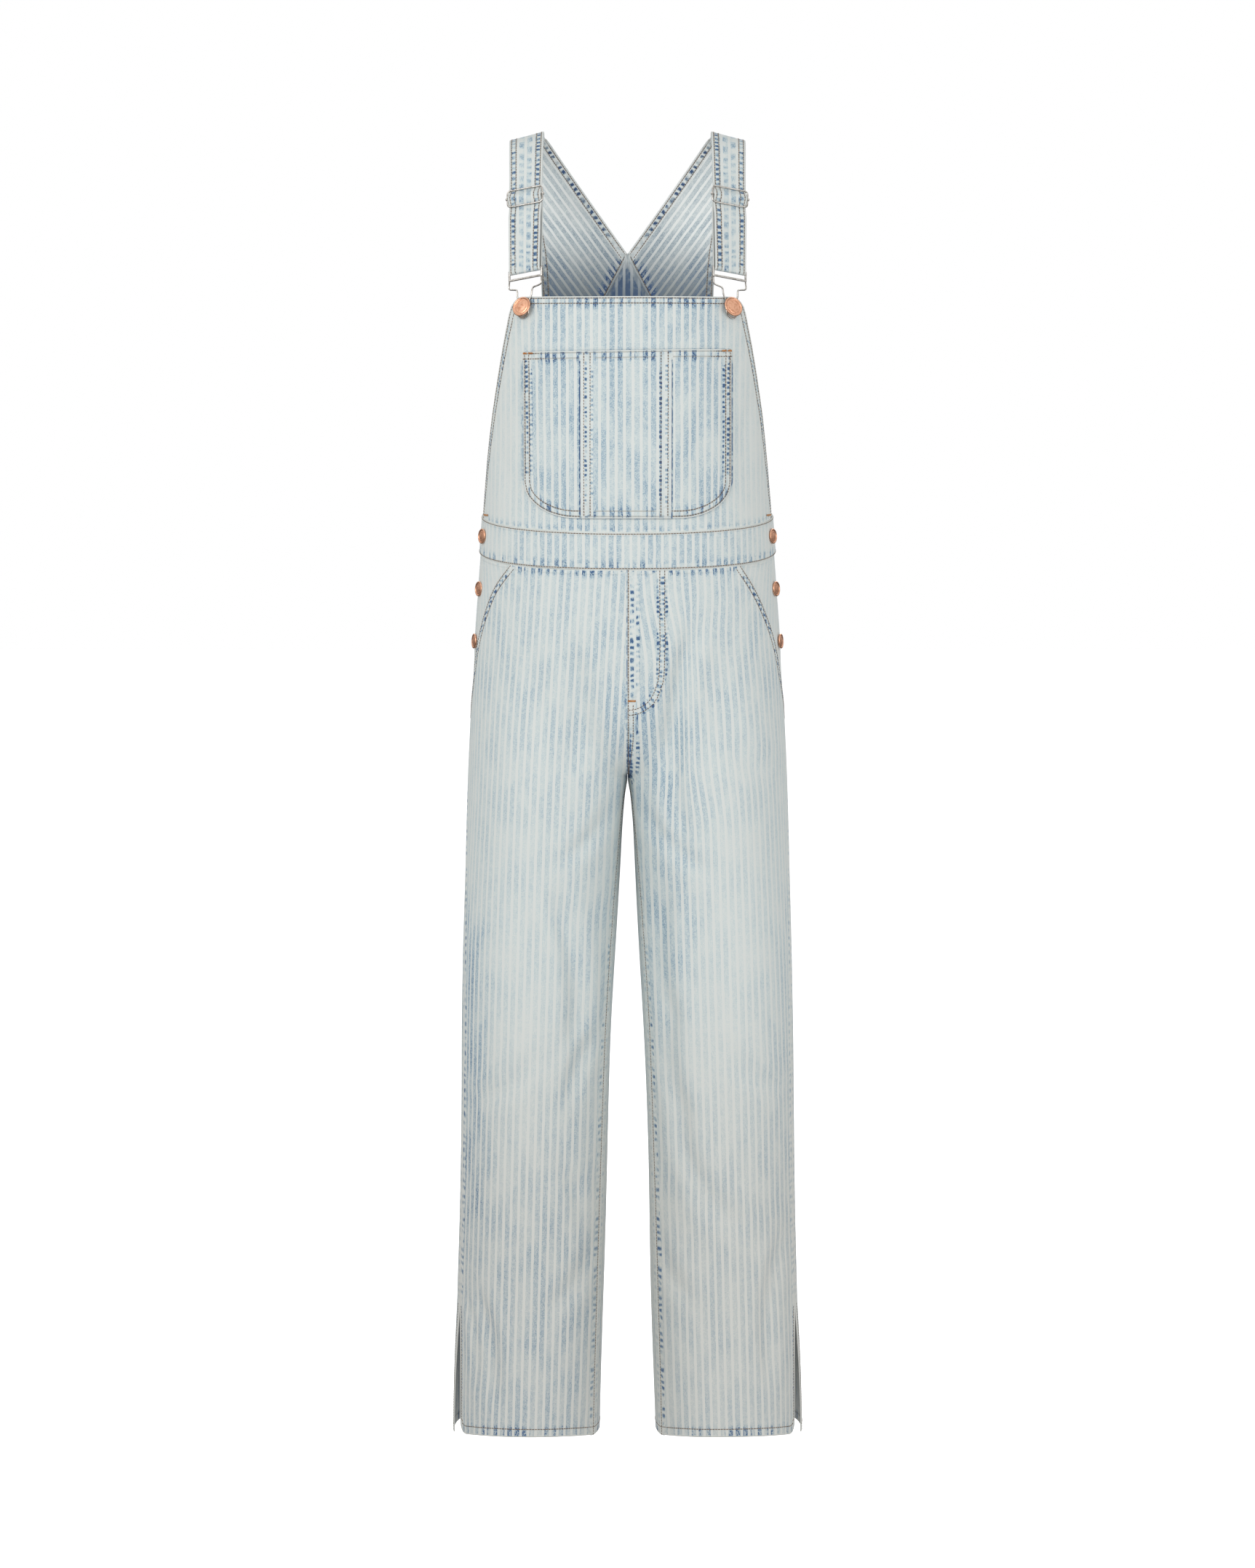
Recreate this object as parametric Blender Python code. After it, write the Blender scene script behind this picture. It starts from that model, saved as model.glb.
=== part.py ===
"""Dungarees in bleached stripe denim: straight legs slit at the hem, a square bib with a
divided pocket, a V back and buckled straps.

The garment hangs in its worn shape. Its origin lies midway between the two strap crests, where
the wearer's shoulders carry it. +X is the side of garment pieces named "right", the front faces
-Y and +Z is up. Sizes are in millimetres and are turned into metres when a mesh is made.
"""
import math

import bmesh
import bpy
import numpy as np
from mathutils import Matrix, Vector

MM = 0.001
SIDES = {"left": -1.0, "right": 1.0}

# Cloth
CLOTH = 1.2             # one layer of denim
BAND = 2.0              # waistband, two layers
STRAP = 1.6             # strap, two layers pressed flat
SEAM = 0.3              # gap left between neighbouring pieces
EDGE = 0.32             # each piece stops this short of its seam line
STEP = CLOTH + SEAM     # how far a piece that lies on another one stands off

# Heights
BIB_TOP = -182.0
BACK_APEX = -128.0
BAND_TOP = -434.4       # upper waistband seam at the centre front
BAND_TOP_RISE = 11.6    # how much higher that seam is at the side
BAND_FOOT = -473.4      # lower waistband seam at the centre front
BAND_FOOT_RISE = 15.4
BACK_BAND_TOP = -418.0
BACK_BAND_FOOT = -452.0
FLY_END = -622.0        # where the front seam starts to turn under the body
SEAT_TURN = -540.0      # where the back seam starts to turn under the body
CROTCH = -703.0
HEM = -1459.0
HEM_FRONT_LIFT = 10.0   # the front hem rises this much between its two ends
SLIT_TOP = -1309.0
HEM_LIFT_TOP = -1390.0

# The hoops of the upper body: half width, and depth before and behind the side line
BODY_COLUMNS = ("z", "half_width", "front", "back")
BODY = (
    (0.0, 150.0, 40.0, 10.0),
    (-14.0, 150.0, 48.0, 42.0),
    (-30.0, 150.0, 56.0, 62.0),
    (-60.0, 150.0, 68.0, 85.0),
    (-100.0, 150.5, 82.0, 101.0),
    (-128.0, 151.0, 90.0, 107.0),
    (-182.0, 152.0, 101.5, 112.0),
    (-205.0, 152.6, 105.8, 112.6),
    (-232.0, 153.3, 109.3, 113.0),
    (-260.0, 154.0, 112.0, 113.0),
    (-340.0, 157.0, 116.0, 109.0),
    (-423.0, 160.5, 116.0, 108.0),
    (-465.0, 163.8, 117.0, 112.0),
    (-520.0, 168.0, 118.0, 123.0),
    (-560.0, 171.0, 118.0, 131.0),
    (-600.0, 172.8, 116.0, 136.0),
    (-650.0, 175.5, 113.0, 138.0),
    (-703.0, 178.3, 110.0, 134.0),
    (-780.0, 181.0, 106.0, 124.0),
)
BODY_POWER = 2.2        # how square the hoops are: 2 is an ellipse

# The hoops of one leg: nearest and furthest x, and the y of the front and the back
LEG_COLUMNS = ("z", "inner", "outer", "front", "back")
LEG = (
    (-520.0, 0.0, 168.0, -113.0, 124.0),
    (-600.0, -2.0, 172.8, -110.0, 128.0),
    (-703.0, -2.5, 178.3, -104.0, 118.0),
    (-753.0, 4.5, 180.1, -99.0, 108.0),
    (-819.0, 9.0, 182.1, -95.0, 99.0),
    (-885.0, 12.7, 184.1, -92.0, 93.0),
    (-985.0, 17.7, 186.4, -88.0, 87.0),
    (-1085.0, 21.0, 188.2, -84.0, 84.0),
    (-1186.0, 24.0, 190.5, -81.0, 82.0),
    (-1288.0, 27.0, 193.3, -80.0, 81.0),
    (-1390.0, 30.0, 195.6, -80.0, 81.0),
    (-1459.0, 31.7, 196.6, -80.0, 81.0),
)
LEG_POWER = 2.1
THIGH_POWER = 3.0       # squareness of the inner thigh at the crotch, where the legs lie together
THIGH_END = -860.0
MIDDLE_GAP = 0.3        # least distance of either half from the middle plane
SEAM_COLUMNS = ("z", "inseam", "side")      # where the leg seams run, in degrees from the front
SEAMS = (
    (-600.0, -77.0, 90.0),
    (-703.0, -77.0, 88.0),
    (-800.0, -73.0, 81.0),
    (-950.0, -68.0, 74.0),
    (-1150.0, -66.0, 72.0),
    (-1459.0, -66.0, 72.0),
)
BLEND_TOP = -530.0      # body hoops turn into leg hoops between these heights
BLEND_FOOT = -780.0
CROTCH_REACH = 0.30     # share of a panel's width that the crotch curve bends

# The pocket mouth, as a share of the way from the centre seam to the side seam
MOUTH_COLUMNS = ("z", "right", "left")
MOUTH = (
    (-473.4, 0.53, 0.57),
    (-502.0, 0.625, 0.68),
    (-531.0, 0.71, 0.755),
    (-561.0, 0.79, 0.825),
    (-601.0, 0.89, 0.91),
    (-640.0, 1.0, 1.0),
)
MOUTH_END = -640.0
SIDE_LAP = 0.05         # how far the front runs past the side line where the side opens
OPENING_FOOT = -600.0
STAND_REACH = 0.11      # the button stand's reach to each side of the opening's edge

# The slits: the part of a panel's width that moves there, and how its edge opens at the hem
SLIT_SHARE = 0.28
SLIT_PULL = 0.02
SLIT_TUCK_IN = 3.0
SLIT_FLARE = 5.0
PANEL_WIDTH = 250.0     # of one leg panel or half a waistband, to turn millimetres into shares

# The edges of the bib and of the back
BIB_COLUMNS = ("z", "x")
BIB_SIDE = (
    (-182.0, 124.0),
    (-205.0, 128.9),
    (-236.0, 135.4),
    (-268.0, 141.2),
    (-300.0, 146.2),
    (-332.0, 150.3),
    (-364.0, 153.8),
    (-396.0, 156.9),
    (-434.4, 160.2),
)
BIB_CORNER = 17.0
BACK_COLUMNS = ("z", "x")
BACK_SIDE = (
    (-20.0, 128.0),
    (-60.0, 116.0),
    (-120.0, 101.0),
    (-185.0, 96.5),
    (-240.0, 96.0),
    (-290.0, 101.0),
    (-340.0, 112.0),
    (-380.0, 130.0),
    (-405.0, 146.0),
    (-424.0, 157.5),
)
YOKE_FOOT = -340.0      # where the slanting back seam meets the armhole edge
YOKE_TOP_INNER = (92.0, -13.0)
YOKE_TOP_OUTER = (128.0, -20.0)
APEX_HALF = 1.5

# Bib pocket
POCKET_TOP = -239.5
POCKET_TILT = 1.5       # its right end is higher by this, its left end lower
POCKET_FOOT = -418.7
POCKET_HALF = 111.5
POCKET_CORNER = (56.0, 38.0)

# Straps: the run of the strap's middle, and half of its width as a slanting vector
STRAP_X = 110.0
STRAP_COLUMNS = ("run", "y", "z", "half_x", "half_y", "half_z")
STRAP_RUN = (
    (0.0, 31.3, -17.0, 18.0, -2.6, -3.5),
    (18.0, 15.0, -8.6, 18.4, -1.0, -4.4),
    (33.0, 0.0, -5.6, 18.6, 0.6, -4.8),
    (50.0, -16.0, -10.5, 18.6, 2.4, -4.4),
    (71.0, -30.5, -26.0, 18.3, 4.2, -3.6),
    (98.0, -43.0, -50.0, 17.9, 5.8, -3.0),
    (125.5, -52.0, -76.0, 17.6, 6.8, -2.7),
    (167.0, -63.0, -116.0, 17.0, 8.0, -2.7),
    (201.0, -71.6, -149.0, 16.5, 9.0, -2.7),
    (216.0, -75.2, -163.5, 16.5, 9.0, -2.7),
)
SLIDER_RUN = 124.0      # the slider's bar
LOOP_RUN = 205.0        # centre of the fold round the buckle's upper bar
BAR_RUN = 214.2         # the buckle's lower bar
LAYER_LIFT = 2.6        # the two layers of the loop lie this far before and behind its middle
SLIDER_LIFT = 2.6
SLIDER_SIZE = (41.2, 18.4)
SLIDER_CORNER = 4.5
WIRE = 1.8
BAR_WIRE = 1.6
BALL = 3.4
BUCKLE_HALF = 21.2
BUCKLE_SIDE = 1.9
BUCKLE_BAR = 2.2
BUCKLE_DEPTH = 2.0
HOOK_WIRE = 1.8
HOOK_STAND = 2.5        # height of the hook's wire over the bib, along the button's axis
HOOK_NECK = 9.4
HOOK_EYE = 6.4
HOOK_EYE_DROP = 1.2

# Buttons
BIB_BUTTON_AT = (110.5, -195.0)
BIB_BUTTON_AXIS = (0.5, -0.78, 0.36)
BIB_BUTTON = {"cap": 11.0, "thick": 2.4, "shank": 3.0, "stand": 5.7, "foot": 1.2}
SIDE_BUTTON = {"cap": 8.3, "thick": 2.2, "shank": 2.8, "stand": 1.7, "foot": 0.35}
SIDE_BUTTONS = ((0.862, -442.0), (0.874, -500.0), (0.898, -557.0))  # share of the way to the side

# Soft folds pressed into the legs: ends as seen from the front or the back, half width, depth
FOLD_COLUMNS = ("panel", "x0", "z0", "x1", "z1", "width", "depth")
FOLDS = (
    ("front_right", 68.0, -520.0, 61.0, -715.0, 17.0, 4.5),
    ("front_right", 42.0, -850.0, 62.0, -1000.0, 16.0, 3.2),
    ("front_right", 80.0, -1150.0, 118.0, -1205.0, 16.0, 2.8),
    ("front_right", 172.0, -1230.0, 160.0, -1380.0, 13.0, 2.2),
    ("front_left", 78.0, -850.0, 56.0, -1000.0, 16.0, 3.8),
    ("front_left", 62.0, -1000.0, 38.0, -1075.0, 13.0, 3.0),
    ("front_left", 72.0, -1160.0, 52.0, -1205.0, 13.0, 2.6),
    ("front_left", 168.0, -1290.0, 152.0, -1400.0, 13.0, 3.0),
    ("back_right", 92.0, -640.0, 24.0, -690.0, 18.0, 4.0),
    ("back_left", 96.0, -650.0, 26.0, -696.0, 18.0, 4.0),
    ("back_right", 142.0, -985.0, 74.0, -1020.0, 17.0, 3.2),
    ("back_left", 138.0, -965.0, 66.0, -1008.0, 17.0, 3.2),
    ("back_right", 82.0, -1235.0, 140.0, -1310.0, 16.0, 2.6),
    ("back_left", 88.0, -1255.0, 146.0, -1320.0, 16.0, 2.6),
)
FOLD_END = 30.0         # a fold fades out over this length at each end

# How finely the cloth is cut into facets
LEG_COLUMNS_COUNT = 12
CROTCH_ANGLES = (0.0, 11.0, 24.0, 38.0, 52.0, 66.0, 79.0, 90.0)
WAIST_ROWS = 5
THIGH_ROWS = (-715.0, -738.0, -772.0)
SHIN_ROWS = 13


def clear_objects():
    """Remove every object of the scene."""
    for old in list(bpy.data.objects):
        bpy.data.objects.remove(old, do_unlink=True)


def ease(value):
    """Smooth step from 0 to 1."""
    value = np.clip(value, 0.0, 1.0)
    return value * value * (3.0 - 2.0 * value)


class Profile:
    """A table of sizes against its first column, read along a smooth curve."""

    def __init__(self, columns, rows):
        table = np.array(sorted(rows), dtype=float)
        self.keys = table[:, 0]
        self.values = {name: table[:, i + 1] for i, name in enumerate(columns[1:])}
        self.slopes = {name: np.gradient(column, self.keys) for name, column in self.values.items()}

    def at(self, name, key):
        """Value of one column at the given keys, by cubic pieces between the rows."""
        key = np.clip(np.asarray(key, dtype=float), self.keys[0], self.keys[-1])
        low = np.clip(np.searchsorted(self.keys, key) - 1, 0, len(self.keys) - 2)
        span = self.keys[low + 1] - self.keys[low]
        t = (key - self.keys[low]) / span
        value, slope = self.values[name], self.slopes[name]
        start = value[low] * (2 * t**3 - 3 * t**2 + 1) + slope[low] * span * (t**3 - 2 * t**2 + t)
        return start + value[low + 1] * (3 * t**2 - 2 * t**3) + slope[low + 1] * span * (t**3 - t**2)


body = Profile(BODY_COLUMNS, BODY)
leg = Profile(LEG_COLUMNS, LEG)
seams = Profile(SEAM_COLUMNS, SEAMS)
mouth = Profile(MOUTH_COLUMNS, MOUTH)
bib_side = Profile(BIB_COLUMNS, BIB_SIDE)
back_side = Profile(BACK_COLUMNS, BACK_SIDE)
strap_run = Profile(STRAP_COLUMNS, STRAP_RUN)


def hoop(half_width, front, back, angle, power):
    """Point of a rounded hoop about its middle; angle 0 is the front, a quarter turn the side."""
    across, along = np.sin(angle), np.cos(angle)
    depth = np.where(along > 0.0, front, back)
    x = half_width * np.sign(across) * np.abs(across) ** (2.0 / power)
    y = -depth * np.sign(along) * np.abs(along) ** (2.0 / power)
    return x, y


def body_point(angle, z):
    """Point of the upper body at an angle from the centre front."""
    x, y = hoop(body.at("half_width", z), body.at("front", z), body.at("back", z), angle, BODY_POWER)
    return np.stack([x, y, z + 0.0 * x], axis=-1)


def body_angle(x, z):
    """Angle from the centre front, or from the centre back, at which a body hoop reaches x."""
    share = np.clip(x / body.at("half_width", z), -1.0, 1.0)
    return np.arcsin(np.sign(share) * np.abs(share) ** (BODY_POWER / 2.0))


def leg_point(angle, z):
    """Point of the right leg's hoop at an angle from its front; the outer side is positive."""
    inner, outer = leg.at("inner", z), leg.at("outer", z)
    front, back = leg.at("front", z), leg.at("back", z)
    middle = 0.5 * (front + back)
    thigh = LEG_POWER + (THIGH_POWER - LEG_POWER) * ease((z - THIGH_END) / (CROTCH - THIGH_END))
    power = np.where(np.sin(angle) < 0.0, thigh, LEG_POWER)
    x, y = hoop(0.5 * (outer - inner), middle - front, back - middle, angle, power)
    x = np.maximum(x + 0.5 * (inner + outer), MIDDLE_GAP)
    return np.stack([x, y + middle, z + 0.0 * x], axis=-1)


def trouser_point(panel, s, z):
    """Point of the right half of the trousers.

    On the front panel s runs from the centre seam and inseam (0) to the side seam (1), on the
    back panel from the side seam (0) to the centre seam and inseam (1).
    """
    inseam = np.radians(seams.at("inseam", z))
    side = np.radians(seams.at("side", z))
    if panel == "front":
        round_body, round_leg = s * 0.5 * math.pi, inseam + (side - inseam) * s
        turn, from_inside = FLY_END, s
    else:
        round_body, round_leg = 0.5 * math.pi * (1.0 + s), side + (inseam + 2.0 * math.pi - side) * s
        turn, from_inside = SEAT_TURN, 1.0 - s
    under = np.clip((turn - z) / (turn - CROTCH), 0.0, 1.0)
    at_edge = 1.0 - np.sqrt(1.0 - under**2)
    elsewhere = ease((BLEND_TOP - z) / (BLEND_TOP - BLEND_FOOT))
    share = at_edge + (elsewhere - at_edge) * ease(from_inside / CROTCH_REACH)
    share = share[..., None]
    return body_point(round_body, z) * (1.0 - share) + leg_point(round_leg, z) * share


def fold_depth(panel, across, x, z):
    """How far the soft folds of a leg panel press its cloth in; they fade out at its seams."""
    depth = np.zeros_like(x)
    for row in FOLDS:
        fold = dict(zip(FOLD_COLUMNS, row))
        if fold["panel"] != panel:
            continue
        run_x, run_z = fold["x1"] - fold["x0"], fold["z1"] - fold["z0"]
        length = math.hypot(run_x, run_z)
        run = ((x - fold["x0"]) * run_x + (z - fold["z0"]) * run_z) / length
        off = ((x - fold["x0"]) * run_z - (z - fold["z0"]) * run_x) / length
        ends = ease((np.minimum(run, length - run) + FOLD_END) / (2.0 * FOLD_END))
        depth += fold["depth"] * ends * np.exp(-(off / fold["width"]) ** 2)
    return depth * ease(np.minimum(across, 1.0 - across) / 0.12)


def band_foot(s):
    """Height of the lower waistband seam at a share of the way from centre front to side."""
    return BAND_FOOT + BAND_FOOT_RISE * np.abs(s) ** 2.2


def band_top(s):
    """Height of the upper waistband seam at a share of the way from centre front to side."""
    return BAND_TOP + BAND_TOP_RISE * np.abs(s) ** 2.4


def back_band_foot(s):
    """Height of the back's lower waistband seam; s is 0 at the side line, 1 at the centre."""
    return BAND_FOOT + BAND_FOOT_RISE + (BACK_BAND_FOOT - BAND_FOOT - BAND_FOOT_RISE) * ease(s)


def back_band_top(s):
    """Height of the back's upper waistband seam; s is 0 at the side line, 1 at the centre."""
    return BAND_TOP + BAND_TOP_RISE + (BACK_BAND_TOP - BAND_TOP - BAND_TOP_RISE) * ease(s)


def side_lap(z):
    """How far past the side line the front's edge lies: a lap at the opening, none below it."""
    return SIDE_LAP * ease((z - MOUTH_END) / (OPENING_FOOT + 12.0 - MOUTH_END))


def leg_heights(foot):
    """Heights of the rows of facets of a leg panel, from the waistband to the hem."""
    rows = list(np.linspace(BAND_FOOT, FLY_END, WAIST_ROWS + 1)[:-1])
    rows += [FLY_END + (CROTCH - FLY_END) * math.sin(math.radians(a)) for a in CROTCH_ANGLES]
    rows += list(THIGH_ROWS)
    rows += list(np.linspace(THIGH_ROWS[-1], foot, SHIN_ROWS + 1)[1:])
    return np.array(rows)


def material(name, colour, roughness, metallic=0.0):
    """A plain material of its own for one piece."""
    made = bpy.data.materials.new(name)
    made.use_nodes = True
    shader = made.node_tree.nodes["Principled BSDF"]
    shader.inputs["Base Color"].default_value = (*colour, 1.0)
    shader.inputs["Roughness"].default_value = roughness
    shader.inputs["Metallic"].default_value = metallic
    return made


DENIM = {"colour": (0.56, 0.64, 0.68), "roughness": 0.85}
NICKEL = {"colour": (0.62, 0.60, 0.57), "roughness": 0.28, "metallic": 1.0}
COPPER = {"colour": (0.72, 0.42, 0.29), "roughness": 0.32, "metallic": 1.0}


def add_object(name, bm, finish):
    """Turn a bmesh in millimetres into a named object with its own material."""
    bmesh.ops.scale(bm, vec=(MM, MM, MM), verts=bm.verts)
    mesh = bpy.data.meshes.new(name)
    bm.to_mesh(mesh)
    bm.free()
    mesh.materials.append(material(name, **finish))
    made = bpy.data.objects.new(name, mesh)
    bpy.context.scene.collection.objects.link(made)
    return made


def wall(name, bm, thickness, centred=False):
    """Give a single layer of cloth its thickness, inwards from its outer face."""
    made = add_object(name, bm, DENIM)
    made.data.shade_smooth()
    solid = made.modifiers.new("cloth", "SOLIDIFY")
    solid.thickness = thickness * MM
    solid.offset = 0.0 if centred else -1.0
    solid.use_even_offset = True
    solid.use_quality_normals = True
    return made


def sheet(columns, rows, place, outward):
    """A grid of faces set by place(s, t), with s across and t down; its faces point outward."""
    bm = bmesh.new()
    bmesh.ops.create_grid(bm, x_segments=columns, y_segments=rows, size=1.0)
    share = np.array([[0.5 * (v.co.x + 1.0), 0.5 * (1.0 - v.co.y)] for v in bm.verts])
    points = place(share[:, 0], share[:, 1])
    for vert, point in zip(bm.verts, points):
        vert.co = point
    bm.normal_update()
    lean = sum((face.normal * face.calc_area() for face in bm.faces), Vector())
    if lean.dot(Vector(outward)) < 0.0:
        bmesh.ops.reverse_faces(bm, faces=bm.faces)
    return bm


def surface_normals(place, s, t):
    """Unit normals of place(s, t), pointing as its two directions turn."""
    small = 1e-3
    down = place(s, np.minimum(t + small, 1.0)) - place(s, np.maximum(t - small, 0.0))
    across = place(np.minimum(s + small, 1.0), t) - place(np.maximum(s - small, 0.0), t)
    normal = np.cross(across, down)
    return normal / np.linalg.norm(normal, axis=-1, keepdims=True)


def lifted(place, height, outward):
    """The placing function of a piece whose outer face stands off another's by a height."""
    def placed(s, t):
        normal = surface_normals(place, s, t)
        if np.dot(normal.sum(axis=0), outward) < 0.0:
            normal = -normal
        lift = height(s, t) if callable(height) else height
        return place(s, t) + normal * np.reshape(lift, (-1, 1))
    return placed


def mirrored(place, sign):
    """The same placing function on the left (-1) or the right (1) half."""
    return lambda s, t: place(s, t) * np.array([sign, 1.0, 1.0])


def spread(share, crowd):
    """Move shares towards both ends, where edges turn, by an amount from 0 to 1."""
    return share + crowd * (0.5 - 0.5 * np.cos(math.pi * share) - share)


def leg_panel(side, part):
    """Front or back leg panel of one side, from the waistband to the hem."""
    heights = leg_heights(HEM)
    stations = np.linspace(0.0, 1.0, len(heights))
    trim = EDGE / PANEL_WIDTH
    front = part == "front"

    def place(s, t):
        nominal = np.interp(t, stations, heights)
        below = ease((SLIT_TOP - nominal) / (SLIT_TOP - HEM))
        if front:
            edge = np.where(nominal > MOUTH_END, mouth.at(side, nominal), 1.0)
            along = trim + (edge - 2.0 * trim) * s
            rise = band_foot(along) - BAND_FOOT - EDGE
            lift = HEM_FRONT_LIFT * (1.0 - (2.0 * s - 1.0) ** 2)
            at_slit = np.clip((s - 1.0 + SLIT_SHARE) / SLIT_SHARE, 0.0, 1.0)
            along = along - SLIT_PULL * below * at_slit
            flare = -SLIT_TUCK_IN * below * at_slit**2
        else:
            lap = side_lap(nominal)
            along = lap + trim + (1.0 - lap - 2.0 * trim) * s
            rise = back_band_foot(along) - BAND_FOOT - EDGE
            lift = 0.0 * s
            at_slit = np.clip((SLIT_SHARE - s) / SLIT_SHARE, 0.0, 1.0)
            along = along + SLIT_PULL * below * at_slit
            flare = SLIT_FLARE * below * at_slit**2
        near_waist = ease((nominal - FLY_END) / (BAND_FOOT - FLY_END))
        near_hem = ease((HEM_LIFT_TOP - nominal) / (HEM_LIFT_TOP - HEM))
        points = trouser_point(part, along, nominal + rise * near_waist + lift * near_hem)
        points[:, 0] += flare
        return points

    def fold(s, t):
        points = place(s, t)
        return -fold_depth(part + "_" + side, s, points[:, 0], points[:, 2])

    outward = (0.0, -1.0, 0.0) if front else (0.0, 1.0, 0.0)
    folded = lifted(place, fold, outward)
    bm = sheet(LEG_COLUMNS_COUNT, len(heights) - 1, mirrored(folded, SIDES[side]), outward)
    return wall(part + "_leg_" + side, bm, CLOTH)


def waistband(part):
    """Front or back half of the waistband, between its two seams."""
    front = part == "front"
    reach = 1.0 + SIDE_LAP if front else 1.0 - SIDE_LAP
    reach -= EDGE / PANEL_WIDTH

    def place(s, t):
        share = (2.0 * s - 1.0) * reach
        if front:
            top, foot = band_top(share), band_foot(share)
            angle = share * 0.5 * math.pi
        else:
            top, foot = back_band_top(1.0 - np.abs(share)), back_band_foot(1.0 - np.abs(share))
            angle = math.pi - share * 0.5 * math.pi
        z = top - EDGE + (foot - top + 2.0 * EDGE) * t
        return body_point(angle, z)

    bm = sheet(24, 2, place, (0.0, -1.0, 0.0) if front else (0.0, 1.0, 0.0))
    return wall(part + "_waistband", bm, BAND)


def bib_place(s, t):
    """Point of the bib, s across from left to right and t from its top edge to the waistband."""
    share = spread(s, 0.5) * 2.0 - 1.0
    half = bib_side.at("x", BIB_TOP)
    over = np.clip((np.abs(share) * half - (half - BIB_CORNER)) / BIB_CORNER, 0.0, 1.0)
    top = BIB_TOP - BIB_CORNER * (1.0 - np.sqrt(1.0 - over**2))
    corner = body_angle(bib_side.at("x", BAND_TOP), BAND_TOP) / (0.5 * math.pi)
    foot = band_top(share * corner) + SEAM / 2.0
    z = top + (foot - top) * t
    edge = body_angle(bib_side.at("x", z), z)
    return body_point(edge * share, z)


def bib():
    """The bib, between the waistband and the straps."""
    return wall("bib", sheet(14, 8, bib_place, (0.0, -1.0, 0.0)), CLOTH)


def bib_pocket():
    """The pocket on the bib, with its two lower corners rounded."""
    def place(s, t):
        share = spread(s, 0.4) * 2.0 - 1.0
        x = share * POCKET_HALF
        top = POCKET_TOP + POCKET_TILT * share
        wide, tall = POCKET_CORNER
        over = np.clip((np.abs(x) - (POCKET_HALF - wide)) / wide, 0.0, 1.0)
        foot = POCKET_FOOT + tall * (1.0 - np.sqrt(1.0 - over**2))
        z = top + (foot - top) * t
        return body_point(body_angle(x, z), z)

    bm = sheet(14, 8, lifted(place, STEP + 0.5, (0.0, -1.0, 0.0)), (0.0, -1.0, 0.0))
    return wall("bib_pocket", bm, CLOTH)


def pocket_facing(side):
    """The piece behind a pocket mouth, which carries on to the side opening."""
    rows = WAIST_ROWS + 1
    heights = leg_heights(HEM)[:rows + 1]
    stations = np.linspace(0.0, 1.0, rows + 1)
    columns = 6
    tuck = 1.0 - 1.0 / LEG_COLUMNS_COUNT      # it starts under the front's last column of facets

    def place(s, t):
        nominal = np.interp(t, stations, heights)
        edge = mouth.at(side, nominal) - EDGE / PANEL_WIDTH
        outer = 1.0 + side_lap(nominal) - EDGE / PANEL_WIDTH
        column = s * columns
        beyond = edge + (outer - edge) * (column - 1.0) / (columns - 1.0)
        along = np.where(column < 1.0, edge * (tuck + (1.0 - tuck) * column), beyond)
        near_waist = ease((nominal - FLY_END) / (BAND_FOOT - FLY_END))
        z = nominal + (band_foot(along) - BAND_FOOT - EDGE) * near_waist
        return trouser_point("front", along, z)

    sunk = lifted(place, -STEP, (0.7, -0.7, 0.0))
    bm = sheet(columns, rows, mirrored(sunk, SIDES[side]), (0.7 * SIDES[side], -0.7, 0.0))
    return wall("pocket_facing_" + side, bm, CLOTH)


def button_stand(side):
    """The strip behind the side opening that carries the side buttons."""
    def place(s, t):
        along = 1.0 + SIDE_LAP + STAND_REACH * (2.0 * s - 1.6)
        z = BAND_TOP + BAND_TOP_RISE - 2.0 + (OPENING_FOOT - BAND_TOP - BAND_TOP_RISE) * t
        return trouser_point("front", along, z)

    sunk = lifted(place, -2.0 * STEP - SEAM, (1.0, 0.0, 0.0))
    bm = sheet(5, 8, mirrored(sunk, SIDES[side]), (SIDES[side], 0.0, 0.0))
    return wall("button_stand_" + side, bm, CLOTH)


def back_point(x, z):
    """Point of the back of the upper body at a distance x from its centre."""
    return body_point(math.pi - body_angle(x, z), z)


def back_bib():
    """The middle of the back, from the waistband up to the point of the V."""
    slope = back_side.at("x", YOKE_FOOT) / (BACK_APEX - YOKE_FOOT)
    top = BACK_APEX - 5.0
    corner = BAND_TOP + BAND_TOP_RISE
    corner_angle = body_angle(back_side.at("x", corner), corner) / (0.5 * math.pi)

    def place(s, t):
        share = 2.0 * s - 1.0
        z_side = top + (corner + SEAM / 2.0 - top) * t
        half = np.where(z_side > YOKE_FOOT, (BACK_APEX - z_side) * slope, back_side.at("x", z_side))
        half = np.maximum(half - SEAM, APEX_HALF)
        from_side = 1.0 - corner_angle * np.abs(share)
        rise = back_band_top(from_side) - corner
        z = z_side + rise * ease((t - 0.7) / 0.3)
        return body_point(math.pi - share * body_angle(half, z_side), z)

    return wall("back_bib", sheet(10, 12, place, (0.0, 1.0, 0.0)), CLOTH)


def back_yoke(side):
    """The slanting piece between the shoulder and the middle of the back."""
    def place(s, t):
        inner_x = YOKE_TOP_INNER[0] + (SEAM - YOKE_TOP_INNER[0]) * t
        inner_z = YOKE_TOP_INNER[1] + (BACK_APEX - YOKE_TOP_INNER[1]) * t
        outer_z = YOKE_TOP_OUTER[1] + (YOKE_FOOT + 1.0 - YOKE_TOP_OUTER[1]) * t
        outer_x = back_side.at("x", outer_z)
        x = inner_x + (outer_x - inner_x) * s
        z = inner_z + (outer_z - inner_z) * s
        return back_point(x, z)

    bm = sheet(7, 10, mirrored(place, SIDES[side]), (0.0, 1.0, 0.0))
    return wall("back_yoke_" + side, bm, CLOTH)


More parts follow.
